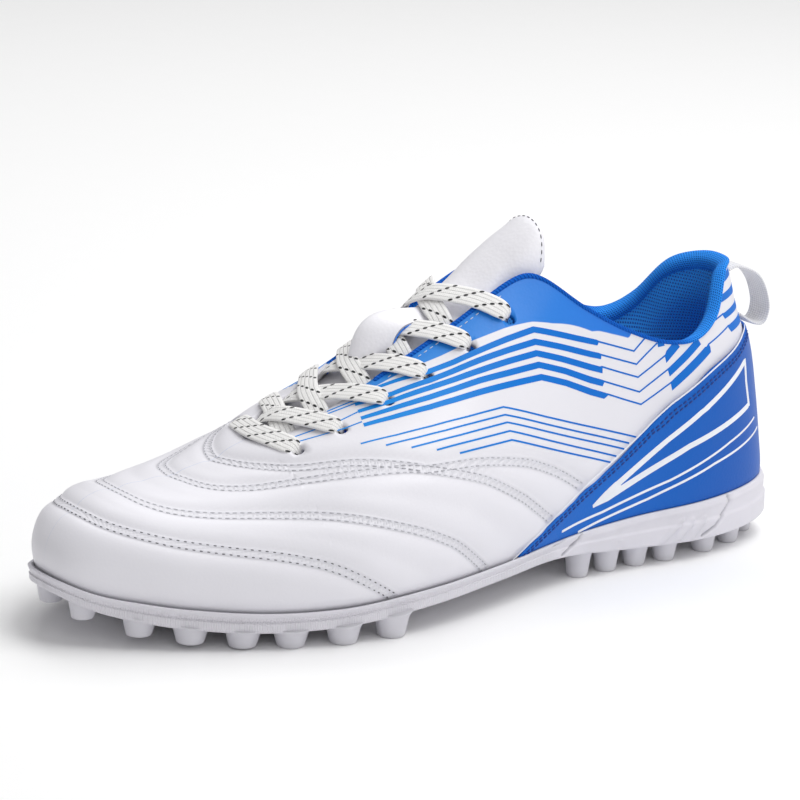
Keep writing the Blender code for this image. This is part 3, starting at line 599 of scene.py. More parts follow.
# Lower edge of the solid blue print along throat and collar: run, turn in degrees.
AZURE_EDGE = np.array([
    (0.4200, 0.0), (0.4286, -19.0), (0.4516, -21.7), (0.4775, -25.3), (0.5003, -28.8), (0.5374, -33.8),
    (0.5752, -40.0), (0.6067, -46.0), (0.6301, -51.8), (0.6811, -62.4), (0.6910, -63.4),
    (0.7088, -66.0), (0.7323, -69.1), (0.7376, -68.0), (0.7420, -60.0), (0.7500, 0.0),
])


def azure_edge(run, turn):
    """Millimetres from a point to the print's lower edge, positive inside the print."""
    edge = np.interp(run, AZURE_EDGE[:, 0], -AZURE_EDGE[:, 1])
    return np.clip((np.radians(edge) - np.abs(turn)) * GIRTH_PER_TURN, -6.0, 6.0)


def upper_sheets():
    """Outer and inner grids of both sides: equal angles from the tucked feather to the edge, with the
    nearest ring of 16 points moved on to each eyelet's circle and the points inside it left unused."""
    outer, inner, ways, holes = [], [], [], []
    for side in (-1.0, 1.0):
        run = np.repeat(STATIONS[:, None], LINES, 1)
        top = top_angle(STATIONS, side)[:, None]
        angle = -TUCK + (top + TUCK) * np.linspace(0, 1, LINES)[None]
        turn = side * (np.pi / 2 - angle)
        gone = np.zeros((len(STATIONS) - 1, LINES - 1), bool)
        rings = []
        for at in EYELET_PLACES:
            r0, t0 = eyelet(at, side)
            centre, normal = on_last(np.array([r0]), np.array([t0]))
            ahead = unit(on_last(np.array([r0 + 0.002]), np.array([t0]))[0][0] - centre[0])
            sideways = np.cross(normal[0], ahead)
            i = int(np.abs(STATIONS - r0).argmin())
            j = int(np.abs(turn[i] - t0).argmin())
            near = on_last(run[i - 3:i + 4, j], turn[i - 3:i + 4, j])[0] - centre[0]
            di = max(1, int(round(2 * EYELET_RADIUS / np.linalg.norm(near[4] - near[3]) / 2)))
            high = on_last(run[i, j:j + 2], turn[i, j:j + 2])[0]
            dj = max(1, int(round(EYELET_RADIUS / np.linalg.norm(high[1] - high[0]))))
            ii = np.concatenate([np.full(2 * dj, i - di), np.arange(i - di, i + di),
                                 np.full(2 * dj, i + di), np.arange(i + di, i - di, -1)])
            jj = np.concatenate([np.arange(j - dj, j + dj), np.full(2 * di, j + dj),
                                 np.arange(j + dj, j - dj, -1), np.full(2 * di, j - dj)])
            spots = on_last(run[ii, jj], turn[ii, jj])[0] - centre[0]
            spread = np.unwrap(np.arctan2(spots @ sideways, spots @ ahead))
            spread = 0.5 * (spread + np.linspace(spread[0], spread[-1], len(ii)))
            circle = EYELET_RADIUS * (np.cos(spread)[:, None] * ahead + np.sin(spread)[:, None] * sideways)
            run[ii, jj], turn[ii, jj] = walk(np.full(len(ii), r0), np.full(len(ii), t0), circle)
            gone[i - di:i + di, j - dj:j + dj] = True
            rings.append(ii * LINES + jj)
        outer.append(skin(run, turn)[0])
        down = np.pi / 2 - np.abs(turn)
        inner.append(last(run, side, down, wall_inset(run, down, top)))
        along = length_along(inner[-1][:, LINING_LINE])[:, None] + 0 * run
        seam = from_seam(on_last(run, turn)[0])
        ways.append((seam, azure_edge(run, turn), along, np.abs(turn) * 0.5 * BALL_WIDTH))
        holes.append((gone, rings))
    closed = place(STATIONS) <= THROAT_START + 1e-4
    for pair in (outer, inner):
        for k in (0, -1):
            pair[0][k] = pair[1][k] = 0.5 * (pair[0][k] + pair[1][k])
        middle = 0.5 * (pair[0][closed, -1] + pair[1][closed, -1])
        pair[0][closed, -1] = pair[1][closed, -1] = middle
    return outer, inner, ways, holes, ~closed[1:]


outer, inner, ways, holes, opened = upper_sheets()
count = outer[0].shape[0] * LINES
points, quads, parts, marks = [], [], [], []
for k in (0, 1):
    start = 2 * k * count
    points += [outer[k].reshape(-1, 3), inner[k].reshape(-1, 3)]
    marks += [np.stack([m.ravel() for m in ways[k]])] * 2
    gone, rings = holes[k]
    kept = ~gone.ravel()
    face = quad_rows(len(STATIONS), LINES, start)[kept]
    lining = quad_rows(len(STATIONS), LINES, start + count)[kept]
    quads += [face, lining]
    parts += [np.zeros(len(face), int), np.ones(len(lining), int)]
    for ring in rings:
        ring = ring + start
        nxt = np.roll(ring, -1)
        quads.append(np.stack([ring, nxt, nxt + count, ring + count], 1))
        parts.append(np.zeros(len(ring), int))
    row = np.arange(len(STATIONS) - 1)
    for edge, rows in ((0, row), (LINES - 1, row[opened])):
        a = start + rows * LINES + edge
        quads.append(np.stack([a, a + LINES, a + LINES + count, a + count], 1))
        parts.append((STATIONS[rows] > BINDING_START).astype(int) if edge else np.zeros(len(a), int))

# White leather: a fine pebble grain, stitching channels pressed in and greyed by painted shade, and the blue
# print as a colour of its own.
# The print is sky blue near the toe and deeper towards the heel.
leather_white = Finish("leather_white", (0.80, 0.79, 0.84), 0.42, Specular_IOR_Level=0.45)
cloud = leather_white.noise(28.0, 4.0)
pebble = leather_white.cells(950.0)
far = leather_white.mark("seam")
channel = (far - SEAM_HALF) / 0.55
channel = 1 / (1 + channel * channel * channel * channel)
white = leather_white.mix(cloud, (0.785, 0.775, 0.825), (0.835, 0.825, 0.875))
# Painted shade: the leather is greyed along each stitching channel.
white = leather_white.mix(channel * 0.35, white, (0.60, 0.60, 0.66))
deep = leather_white.axis("X").ramp(-0.03, 0.10)
azure = leather_white.mix(deep, (0.016, 0.235, 0.72), (0.003, 0.165, 0.72))
printed = leather_white.mark("azure").ramp(-0.12, 0.12)
leather_white.set("Base Color", leather_white.mix(printed, white, azure))
leather_white.set("Roughness", cloud * 0.10 + pebble * 0.12 + 0.34)
leather_white.bump(pebble * 0.06 + cloud * 0.25 - channel * 0.85, 0.30)

# Lining: spacer mesh, staggered rows of fine holes in a saturated blue.
MESH_LONG, MESH_HIGH = 1.0, 0.8


def mesh_holes(finish, upwards):
    """Holes of spacer mesh in staggered rows, 1 in a hole and 0 between: a smooth step of six times the
    squared way from the hole's middle, by the marks that run along and up the mesh."""
    rows_up = finish.mark(upwards) / MESH_HIGH
    aside = (finish.mark("along") / MESH_LONG + (rows_up - rows_up % 1.0) * 0.5) % 1.0 - 0.5
    rise = rows_up % 1.0 - 0.5
    return 1 - (aside * aside * 6.0 + rise * rise * 6.0).ramp(0.15, 0.75)


lining_blue = Finish("lining_blue", (0.01, 0.20, 0.80), 0.85, Specular_IOR_Level=0.2, Sheen_Weight=0.6,
                     Sheen_Tint=(0.35, 0.65, 1.0, 1.0))
hole = mesh_holes(lining_blue, "down")
lining_blue.set("Base Color", lining_blue.mix(hole, (0.045, 0.400, 1.00), (0.002, 0.090, 0.55)))
lining_blue.bump(1 - hole, 0.45)

marks = np.concatenate(marks, 1)
upper = add_piece("upper_skin", np.concatenate(points), np.concatenate(quads), (leather_white, lining_blue),
                  np.concatenate(parts), dict(zip(("seam", "azure", "along", "down"), marks)))
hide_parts("upper")


# Stitching: pairs of polyester rows along every quilting seam, dark at the toe and grey behind, each
# thread pulled into its own channel.
STITCH_PITCH, STITCH_SIDES = 2.45, 5


def add_stitches(name, rows, finish, long, thick):
    """Stitches as five-sided lenses: three rings and two poles, set along each way at each centre."""
    centre, way, normal = (np.concatenate(values) for values in zip(*rows))
    way = unit(way)
    aside = np.cross(normal, way)
    around = np.linspace(0, 2 * np.pi, STITCH_SIDES + 1)[:-1]
    steps = np.array([-0.5, -0.33, 0.0, 0.33, 0.5])[:, None] * long
    wide = np.array([0.0, 0.8, 1.0, 0.8, 0.0])[:, None] * thick
    shape = np.stack([steps + 0 * around, wide * np.cos(around), wide * np.sin(around)], -1).reshape(-1, 3)
    points = centre[:, None] + shape @ np.stack([way, aside, normal], 1)
    quads = quad_rows(len(steps), STITCH_SIDES, close=True)[None]
    quads = quads + (np.arange(len(centre)) * len(shape))[:, None, None]
    return add_piece(name, points, quads.reshape(-1, 4), (finish,))


def even_row(point, normal, pitch, start):
    """Even places along a line from a start: points, directions and normals."""
    length = length_along(point)
    at = np.arange(start, length[-1], pitch)
    return [np.stack([np.interp(at, length, v) for v in values.T], 1)
            for values in (point, np.gradient(point, axis=0), normal)]


def along_line(line, pitch, aside, lift, face=skin):
    """Even places along a line on the skin, moved aside: points, directions and normals."""
    spots, normal = on_last(line[:, 0], line[:, 1])
    across = unit(np.cross(normal, np.gradient(spots, axis=0)))
    point, normal = face(*walk(line[:, 0], line[:, 1], across * aside), lift)
    return even_row(point, normal, pitch, pitch / 2)


TWIST = (1500.0, 2.0, 0.08)
thread_grey = mottled("thread_grey", (0.50, 0.50, 0.54), 0.7, (0.36, 0.36, 0.40), (0.62, 0.62, 0.66), *TWIST)
thread_dark = mottled("thread_dark", (0.10, 0.10, 0.12), 0.75, (0.05, 0.05, 0.06), (0.20, 0.20, 0.22), *TWIST)
for name, seams, finish, long, thick in (
        ("toe_seam_stitches", SEAM_LINES[:2], thread_dark, 1.15, 0.22),
        ("seam_stitches", SEAM_LINES[2:], thread_grey, 1.75, 0.26)):
    rows = [along_line(line, STITCH_PITCH, aside, 0.04)
            for line in seams for aside in (-SEAM_HALF, SEAM_HALF)]
    stitches = add_stitches(name, rows, finish, long, thick)

# Throat stitching: one pale row beside the binding on both sides and one round the throat's front.
rows = []
throat_run = np.linspace(0.445, 0.585, 60)
for side in (-1.0, 1.0):
    edge = np.stack([throat_run, side * (np.pi / 2 - top_angle(throat_run, side) + 0.062)], 1)
    rows.append(along_line(edge, 2.6, 0.0, 0.05))
rows.append(along_line(trace(((0.3230, -15.0), (0.3166, 0.0), (0.3230, 15.0)), 1.0), 2.3, 0.0, 0.04))
thread_pale = mottled("thread_pale", (0.66, 0.70, 0.76), 0.7, (0.50, 0.55, 0.64), (0.78, 0.80, 0.84), *TWIST)
throat_stitches = add_stitches("throat_stitches", rows, thread_pale, 1.6, 0.2)


# Side print: blue film pressed on to the leather in slanting lines that bend over the arch of the side.
# Each line gives run, turn in degrees and width in millimetres; the inner side carries the mirrored set.
PRINT_LINES = (
    ((0.4333, -20.5, 1.03), (0.4513, -24.0, 1.24), (0.4662, -27.1, 1.40), (0.4819, -30.2, 1.55),
     (0.5099, -34.5, 1.59), (0.5397, -38.5, 1.62), (0.5563, -40.9, 1.64), (0.5734, -43.5, 1.66),
     (0.6049, -48.2, 1.66), (0.6364, -56.4, 1.62), (0.6561, -60.8, 1.57), (0.6766, -64.5, 1.52),
     (0.6862, -66.0, 1.45), (0.6885, -66.0, 0.45), (0.7128, -69.6, 0.45), (0.7373, -72.8, 0.45),
     (0.7561, -70.6, 0.45)),
    ((0.4057, -19.7, 1.17), (0.4223, -23.5, 1.31), (0.4396, -27.1, 1.45), (0.4586, -30.1, 1.52),
     (0.4783, -33.2, 1.59), (0.5064, -37.1, 1.62), (0.5355, -41.1, 1.66), (0.5691, -46.4, 1.66),
     (0.6029, -51.7, 1.66), (0.6362, -60.0, 1.62), (0.6745, -67.7, 1.59), (0.6884, -69.8, 1.52),
     (0.6900, -69.6, 0.45), (0.7145, -73.1, 0.45), (0.7391, -76.2, 0.45), (0.7715, -72.9, 0.45)),
    ((0.4030, -23.2, 1.24), (0.4188, -26.3, 1.35), (0.4353, -29.4, 1.45), (0.4544, -32.4, 1.52),
     (0.4743, -35.4, 1.59), (0.5020, -39.6, 1.62), (0.5311, -43.9, 1.66), (0.5651, -49.2, 1.66),
     (0.6012, -54.9, 1.66), (0.6337, -62.9, 1.66), (0.6727, -70.9, 1.66), (0.6881, -73.3, 1.59),
     (0.6899, -72.7, 0.45), (0.7149, -76.3, 0.45), (0.7401, -79.4, 0.45), (0.7602, -78.1, 0.45),
     (0.7804, -76.5, 0.45), (0.7818, -76.9, 2.42), (0.7964, -74.4, 2.55)),
    ((0.4006, -26.5, 1.24), (0.4154, -29.2, 1.35), (0.4307, -31.9, 1.45), (0.4496, -35.1, 1.52),
     (0.4694, -38.2, 1.59), (0.4975, -42.3, 1.62), (0.5270, -46.5, 1.66), (0.5612, -52.1, 1.66),
     (0.5809, -55.3, 1.66), (0.6013, -58.4, 1.66), (0.6358, -66.6, 1.66), (0.6713, -74.0, 1.72),
     (0.6884, -76.6, 1.66), (0.6914, -76.5, 0.45), (0.7163, -79.9, 0.45), (0.7413, -82.9, 0.45),
     (0.7620, -81.5, 0.45), (0.7822, -79.9, 0.45), (0.7844, -80.5, 2.21), (0.8049, -77.9, 2.35),
     (0.8248, -75.3, 2.42)),
    ((0.3982, -29.7, 1.31), (0.4257, -34.7, 1.45), (0.4446, -37.9, 1.52), (0.4644, -41.1, 1.59),
     (0.4926, -45.3, 1.62), (0.5225, -49.6, 1.66), (0.5573, -55.0, 1.66), (0.5792, -58.6, 1.66),
     (0.6018, -62.1, 1.66), (0.6355, -69.8, 1.66), (0.6704, -76.9, 1.72), (0.6906, -79.9, 1.66),
     (0.6964, -80.1, 0.45), (0.7199, -83.2, 0.45), (0.7433, -85.8, 0.45), (0.7646, -84.6, 0.45),
     (0.7847, -83.1, 0.45), (0.7867, -83.7, 2.42), (0.8079, -81.2, 2.62), (0.8356, -78.0, 2.69),
     (0.8380, -76.8, 0.45), (0.8808, -74.0, 0.45), (0.8883, -74.7, 2.28), (0.9460, -74.0, 2.48)),
    ((0.8504, -71.7, 0.45), (0.8748, -70.5, 0.45), (0.8799, -71.1, 1.72), (0.9454, -70.1, 2.07)),
    ((0.8665, -66.8, 0.52), (0.8776, -66.4, 1.90), (0.9437, -65.4, 2.24)),
    ((0.8771, -62.0, 1.21), (0.8916, -61.4, 1.72), (0.9277, -59.9, 2.07)),
    ((0.7720, -73.2, 1.72), (0.7812, -73.2, 1.90)),
    ((0.3841, -35.9, 0.48), (0.4193, -41.6, 0.48), (0.4573, -47.2, 0.48),
     (0.4990, -53.1, 0.48), (0.5445, -59.3, 0.48), (0.6036, -73.7, 0.48), (0.7366, -91.8, 0.48)),
    ((0.4043, -42.6, 0.48), (0.4355, -47.1, 0.48), (0.4689, -51.7, 0.48),
     (0.5053, -56.5, 0.48), (0.5442, -61.7, 0.48), (0.6008, -75.2, 0.48), (0.7268, -92.6, 0.48)),
    ((0.4265, -49.2, 0.48), (0.4533, -52.6, 0.48), (0.4819, -56.3, 0.48),
     (0.5126, -60.1, 0.48), (0.5448, -64.2, 0.48), (0.5997, -77.0, 0.48), (0.7200, -93.5, 0.48)),
    ((0.4510, -55.5, 0.48), (0.4961, -60.9, 0.48), (0.5455, -67.0, 0.48), (0.5970, -78.8, 0.48),
     (0.7090, -94.5, 0.48)),
    ((0.4760, -61.5, 0.48), (0.5098, -65.5, 0.48), (0.5456, -69.8, 0.48), (0.5950, -80.7, 0.48),
     (0.7008, -95.4, 0.48)),
)
# Fine lines beside the front laces, on the outer side only.
FRONT_LINES = (
    ((0.4320, -21.2, 0.41), (0.4089, -18.1, 0.41), (0.3958, -15.8, 0.41), (0.3829, -13.6, 0.41)),
    ((0.4074, -19.5, 0.41), (0.3936, -17.0, 0.41), (0.3800, -14.5, 0.41), (0.3599, -12.5, 0.41),
     (0.3401, -10.6, 0.41)),
    ((0.4027, -23.3, 0.41), (0.3852, -21.4, 0.41), (0.3626, -17.7, 0.41), (0.3407, -14.1, 0.41)),
    ((0.3991, -28.0, 0.41), (0.3818, -25.6, 0.41), (0.3610, -21.7, 0.41), (0.3409, -17.8, 0.41)),
    ((0.3295, -14.6, 0.41), (0.3216, -13.9, 0.41)),
)
FILM_LIFT, FILM_SINK, FILM_SPREAD = 0.07, 0.05, 1.32


def film(line, face):
    """Thin closed band along a line: half the width to each side, mitred at corners, four points a
    station, two on the face and two just under it."""
    run, turn, width = line.T
    spots, normal = on_last(run, turn)
    ways = unit(np.diff(spots, axis=0))
    before, after = np.concatenate([ways[:1], ways]), np.concatenate([ways, ways[-1:]])
    mean = unit(before + after)
    reach = 1 / np.maximum((mean * after).sum(1), 0.4)
    across = unit(np.cross(normal, mean)) * (width * FILM_SPREAD * reach / 2)[:, None]
    left, right = walk(run, turn, across), walk(run, turn, -across)
    corners = ((left, -FILM_SINK), (left, FILM_LIFT), (right, FILM_LIFT), (right, -FILM_SINK))
    return np.stack([face(*side, lift)[0] for side, lift in corners], 1)


def add_tubes(name, tubes, finish, marks=None):
    """One piece from closed tubes, each a ring of points at every station, with both ends filled."""
    quads, fans, start = [], [], 0
    for tube in tubes:
        stations, around = tube.shape[:2]
        quads.append(quad_rows(stations, around, start, close=True))
        end = start + around * (stations - 1)
        fans += [range(start, start + around), range(end, end + around)]
        start += around * stations
    points = np.concatenate([tube.reshape(-1, 3) for tube in tubes])
    return add_piece(name, points, np.concatenate(quads), (finish,), marks=marks, fans=fans)


def add_films(name, lines, face, finish):
    """One piece from many bands, with sharp edges."""
    thing = add_tubes(name, [film(line, face) for line in lines], finish)
    thing.data.set_sharp_from_angle(angle=0.7)
    return thing


print_blue = Finish("print_blue", (0.02, 0.16, 0.72), 0.5, Specular_IOR_Level=0.2)
deep = print_blue.axis("X").ramp(-0.055, 0.05)
speck = print_blue.noise(120.0, 3.0)
shade = print_blue.mix(deep, (0.010, 0.290, 0.800), (0.001, 0.165, 0.640))
print_blue.set("Base Color", print_blue.mix(speck * 0.3, shade, (0.001, 0.110, 0.520)))
print_blue.bump(print_blue.cells(950.0), 0.02)
lines = [side for knots in PRINT_LINES for side in both_sides(trace(knots, 1.5))]
lines += [trace(knots, 1.5) for knots in FRONT_LINES]
for k, line in enumerate(lines):
    side = np.sign(line[0, 1])
    under = top_angle(line[:, 0], side) - (0.05 if side > 0 else 0.01)
    lines[k] = line[np.pi / 2 - np.abs(line[:, 1]) < under]
side_print = add_films("side_print", lines, skin, print_blue)


# Binding: knitted blue tape rolled over the raw edge of throat and collar and stitched down. Inside the
# collar and round the heel it gives way to the padded roll of the lining's mesh.
RING, TAPE_DEEP, TAPE_SLIM, ROLL_DEEP = 14, 1.75, 0.3, 4.4


def binding_ring(side):
    """Closed ring of points at each station round the edge: millimetres below the edge and inset
    through the wall, from the outer face over the top to the lining and back inside the wall."""
    run = np.concatenate([np.linspace(BINDING_START, 0.78, 150)[:-1], np.linspace(0.78, 1.0, 70)])
    top = top_angle(run, side)
    slope = np.linalg.norm(last(run, side, top) - last(run, side, top - 0.01), axis=-1) / 0.01
    wall = wall_inset(run, top, top)
    grow = smooth_step(run, BINDING_START, BINDING_START + 0.004)[:, None]
    wide, none = TAPE_DEEP - TAPE_SLIM * smooth_step(run, 0.60, 0.68), 0 * run
    soft = smooth_step(run, 0.64, 0.74)
    deep = wide + ROLL_DEEP * soft
    down = np.stack([wide, wide * 0.93, wide * 0.5, none + 0.1, none - 0.45, none - 0.6,
                     none - 0.45 - 0.4 * soft, none + 0.1 - 0.3 * soft, deep * 0.4, deep * 0.8, deep * 1.25,
                     deep * 1.15, wide * 0.6, wide * 0.9], 1)
    through = np.stack([none + 0.1, none - 0.45, none - 0.60, none - 0.45, 0.2 * wall, 0.5 * wall,
                        0.8 * wall + 0.3 * soft, wall + 0.35 + 0.6 * soft, wall + 0.55 + 0.7 * soft,
                        wall + 0.45 - 0.4 * soft, wall + 0.1 - 0.4 * soft, wall - 0.4, wall - 0.7,
                        none + 0.5], 1)
    centre_down, centre_in = down.mean(1, keepdims=True), through.mean(1, keepdims=True)
    down = centre_down + (down - centre_down) * grow
    through = centre_in + (through - centre_in) * grow
    angle = top[:, None] - down / slope[:, None]
    heel = smooth_step(run, 0.79, 0.83)[:, None] + 0 * angle
    return last(run[:, None], side, angle, through), heel


rings = [binding_ring(side) for side in (-1.0, 1.0)]
joined, heel = (np.concatenate([rings[0][k], rings[1][k][-2::-1]]) for k in (0, 1))
binding_blue = Finish("binding_blue", (0.006, 0.10, 0.55), 0.85, Specular_IOR_Level=0.15)
along, around = binding_blue.mark("along"), binding_blue.mark("round")
knit = (along + around * 6.0).wave(1.3) * 0.6 + (along - around * 9.0).wave(0.8) * 0.4
soft = around.ramp(0.40, 0.50)
soft = soft + binding_blue.mark("heel") * (1 - soft)
hole = mesh_holes(binding_blue, "over")
tape = binding_blue.mix(knit, (0.002, 0.070, 0.44), (0.008, 0.170, 0.74))
mesh = binding_blue.mix(hole, (0.030, 0.310, 0.97), (0.002, 0.080, 0.48))
binding_blue.set("Base Color", binding_blue.mix(soft, tape, mesh))
binding_blue.bump(knit * (1 - soft) + (1 - hole) * soft, 0.35)
over = np.cumsum(np.linalg.norm(np.diff(joined, axis=1, prepend=joined[:, :1]), axis=2), 1)
binding = add_tubes("edge_binding", [joined], binding_blue, {
    "along": np.repeat(length_along(joined[:, 4])[:, None], RING, 1),
    "round": np.repeat(np.linspace(0, 1, RING)[None], len(joined), 0), "heel": heel, "over": over})


# Sole: one moulding of off-white rubber, a cup that hugs the upper with a stepped side, a heel block
# with an S-shaped front, and moulded turf studs under ball and heel.
SOLE_WALL, CUP_GAP, STEP_DEPTH, BLOCK_DEPTH = 2.0, 0.42, 0.7, 0.9
FLOOR_GAP, EDGE_ROUND, LOW_ROUND = 0.35, 0.6, 1.1
SOLE_RUNS = np.concatenate([np.linspace(0, 0.60, 190)[:-1], np.linspace(0.60, 1.0, 190)])
# Relief of the heel block on the outer side: points as run and height, then depth and half width.
RELIEF = (
    (((0.6642, 19.8), (0.6600, 15.9), (0.6492, 14.1), (0.6350, 12.1)), -1.40, 0.60),
    (((0.6567, 20.4), (0.6483, 19.1), (0.6358, 17.4), (0.6200, 16.3)), -0.60, 0.50),
    (((0.8475, 22.5), (0.8492, 18.5), (0.8450, 16.6), (0.8342, 12.8), (0.8275, 10.9), (0.8133, 8.8)),
     -1.40, 0.60),
    (((0.7675, 9.1), (0.7908, 15.9)), 1.00, 0.80),
    (((0.7850, 8.9), (0.8017, 15.2)), 1.00, 0.80),
    (((0.7992, 8.3), (0.8150, 15.2)), 1.00, 0.80),
    (((0.7123, 12.4), (0.7127, 12.4)), 0.35, 0.70),
)


def sole_heights(at):
    """Heights of the rim, of the side's lower edge and of the floor under the studs."""
    rim, side, ground = (sole_column(at, name) for name in SOLE_COLUMNS[1:])
    return rim, rim - side, np.maximum(ground, 0.0)


def relief(run, z):
    """Sum of grooves and bars: depth times a bell of the distance to each line's nearest piece."""
    here = np.stack([place(run) * UPPER_LENGTH, z], -1)
    height = np.zeros(z.shape)
    for knots, deep, wide in RELIEF:
        spots = np.array(knots)
        spots[:, 0] = place(spots[:, 0]) * UPPER_LENGTH
        gaps = []
        for start, way in zip(spots, np.diff(spots, axis=0)):
            share = np.clip((here - start) @ way / (way @ way), 0, 1)[..., None]
            gaps.append(np.linalg.norm(here - start - share * way, axis=-1))
        height = height + deep * np.exp(-(np.min(gaps, 0) / wide) ** 4)
    return height


def quarter_round(share):
    """Height of a quarter circle that rises from 0 at share 0 to 1 at share 1."""
    return np.sqrt(np.clip(1 - np.clip(1 - share, 0, 1) ** 2, 0, 1))


def sole_side(run, share):
    """Height and outward offset of the sole's side: share 0 at the rim's round, 1 at the lower edge;
    the step bulges out below the middle, with rounded edges above and below."""
    at = place(run)
    rim, low, _ = sole_heights(at)
    z = rim - share * (rim - low)
    block = BLOCK_DEPTH * smooth_step(at, 0.665, 0.70)
    tall = rim - z
    step = smooth_step(share, 0.44, 0.52)
    out = CUP_GAP + SOLE_WALL + STEP_DEPTH * step + block * smooth_step(tall, 0.2, 2.5)
    for way, size in ((tall, EDGE_ROUND), (z - low, LOW_ROUND)):
        out = out - size * (1 - quarter_round(way / size))
    return z, out + relief(run, z) * smooth_step(tall, 0.3, 1.0)


# Shares down the side, close together at both rounded edges, and lines across the floor and the underside.
SIDE_SHARES = np.concatenate([[0, 0.012, 0.03, 0.055], np.linspace(0.09, 0.90, 26),
                              [0.93, 0.955, 0.98, 1.0]])
FLOOR_LINES, RIB_LINE, RAISED = 4, 10, 0.45
run = SOLE_RUNS[:, None]
feather = heights(place(run))[0]
cup_z = np.concatenate([feather - FLOOR_GAP, feather + CUP_DEPTH * 0.45,
                        sole_heights(place(run))[0] - EDGE_ROUND / 2], 1)
z, out = sole_side(np.repeat(run, len(SIDE_SHARES), 1), SIDE_SHARES[None])
z, out = np.concatenate([cup_z, z], 1), np.concatenate([np.full(cup_z.shape, CUP_GAP), out], 1)
runs = np.repeat(run, z.shape[1], 1)
lateral, medial = (level(runs, side, z, -out) for side in (-1.0, 1.0))
shares = np.linspace(0, 1, FLOOR_LINES + 2)[None, 1:-1, None]
inside, under = (lateral[:, [end]] * (1 - shares) + medial[:, [end]] * shares for end in (0, -1))
ring = np.concatenate([lateral[:, ::-1], inside, medial, under[:, ::-1]], 1)
side_mark = np.concatenate([np.full(cup_z.shape[1], -1.0), SIDE_SHARES])
marks = np.concatenate([side_mark[::-1], np.full(FLOOR_LINES, -1.0), side_mark, np.full(FLOOR_LINES, 2.0)])
# Painted shade for the heel block's relief: a mark, largest in the grooves and smaller (RAISED times the
# height) on the bars, that darkens the rubber there.
shape = relief(runs, z)
deep = np.where(shape < 0, -shape, RAISED * shape)
none = np.zeros((len(run), FLOOR_LINES))
groove_shade = np.concatenate([deep[:, ::-1], none, deep, none], 1)
rubber_white = Finish("rubber_white", (0.76, 0.76, 0.80), 0.5, Specular_IOR_Level=0.35)
share = rubber_white.mark("share")
rib = rubber_white.mark("along").wave(0.85)
ahead = rubber_white.axis("X")
fore = share.ramp(0.16, 0.24) * (1 - share.ramp(0.90, 0.97)) * (1 - ahead.ramp(0.030, 0.036))
rubber_noise = rubber_white.noise(45.0, 5.0, 0.6)
tone = rubber_white.mix(rubber_noise.ramp(0.35, 0.75), (0.735, 0.718, 0.775), (0.690, 0.675, 0.725))
tone = rubber_white.mix(fore * rib * 0.07, tone, (0.45, 0.45, 0.49))
# Painted shade: darker in the heel block's grooves and a little on its bars, by that mark.
tone = rubber_white.mix(rubber_white.mark("cut").ramp(0.15, 1.0) * 0.45, tone, (0.36, 0.36, 0.40))
# Painted shade: the inside of the cup, floor and wall, is dark grey so the gap between upper and rim shows as
# a dark line; in the back part of the shoe the cup keeps the rubber's tone.
rear = ahead.ramp(0.02, 0.04)
clear_of_cup_shade = share.ramp(-0.75, -0.25) * (1 - rear) + rear
rubber_white.set("Base Color", rubber_white.mix(clear_of_cup_shade, (0.28, 0.28, 0.31), tone))
rubber_white.bump(fore * rib * 0.4 + rubber_noise * 0.15, 0.30)
sole = add_piece("sole_cup", ring, quad_rows(len(SOLE_RUNS), ring.shape[1], close=True), (rubber_white,),
                 marks={"share": np.repeat(marks[None], len(SOLE_RUNS), 0),
                        "along": np.repeat(length_along(lateral[:, RIB_LINE])[:, None], ring.shape[1], 1),
                        "cut": groove_shade})
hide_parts("outsole")

# Studs: round turf studs moulded in one with the sole under ball and heel, tapered from a flared root.
# Pairs: places of the outer and the inner stud along the shoe, share of the way from the middle to the
# edge, size. The single ones stand on the middle line: place, size.
STUD_RADIUS, STUD_INSET, STUD_ROUND = 5.6, 4.7, 20
STUD_PAIRS = (
    (0.014, 0.012, 0.90, 0.80), (0.066, 0.060, 1.0, 0.92), (0.117, 0.112, 1.0, 1.0),
    (0.171, 0.166, 1.0, 1.0), (0.224, 0.222, 1.0, 1.0), (0.287, 0.285, 1.0, 1.0),
    (0.352, 0.352, 1.0, 1.0), (0.095, 0.095, 0.33, 0.9), (0.225, 0.225, 0.36, 0.9),
    (0.350, 0.350, 0.36, 0.9), (0.688, 0.688, 1.0, 0.78),
    (0.734, 0.734, 1.0, 0.78), (0.780, 0.780, 1.0, 0.78), (0.826, 0.826, 1.0, 0.78),
    (0.893, 0.893, 1.0, 0.78), (0.945, 0.945, 1.0, 0.74), (0.990, 0.990, 1.0, 0.74),
)
STUDS = [(at, 0.0, size) for at, size in ((0.160, 0.9), (0.290, 0.9), (0.757, 0.85), (0.850, 0.85))]
STUDS += [stud for outer_at, inner_at, share, size in STUD_PAIRS
          for stud in ((outer_at, -share, size), (inner_at, share, size))]
# Profile of a stud: share of the way down, radius as a share between root and tip, from a flared root.
STUD_PROFILE = np.array([(-0.15, 1.36), (0.0, 1.22), (0.10, 1.12), (0.30, 1.03), (0.90, 0.86), (0.97, 0.83),
                         (1.0, 0.76)])
turn = np.linspace(0, 2 * np.pi, STUD_ROUND + 1)[:-1]
stud_rings = []
for at, across_share, size in STUDS:
    outer_edge, inner_edge = (level(run_at(at), s, sole_heights(at)[0], STUD_INSET) for s in (-1.0, 1.0))
    centre = outer_edge + (inner_edge - outer_edge) * (across_share + 1) / 2
    radius = STUD_RADIUS * size * STUD_PROFILE[:, 1:]
    x, y = centre[0] + np.cos(turn) * radius, centre[1] + np.sin(turn) * radius
    root = sole_heights(x / UPPER_LENGTH + 0.5)[1]
    ground = sole_heights(centre[0] / UPPER_LENGTH + 0.5)[2]
    stud_rings.append(np.stack([x, y, root + (ground - root) * STUD_PROFILE[:, :1]], -1))
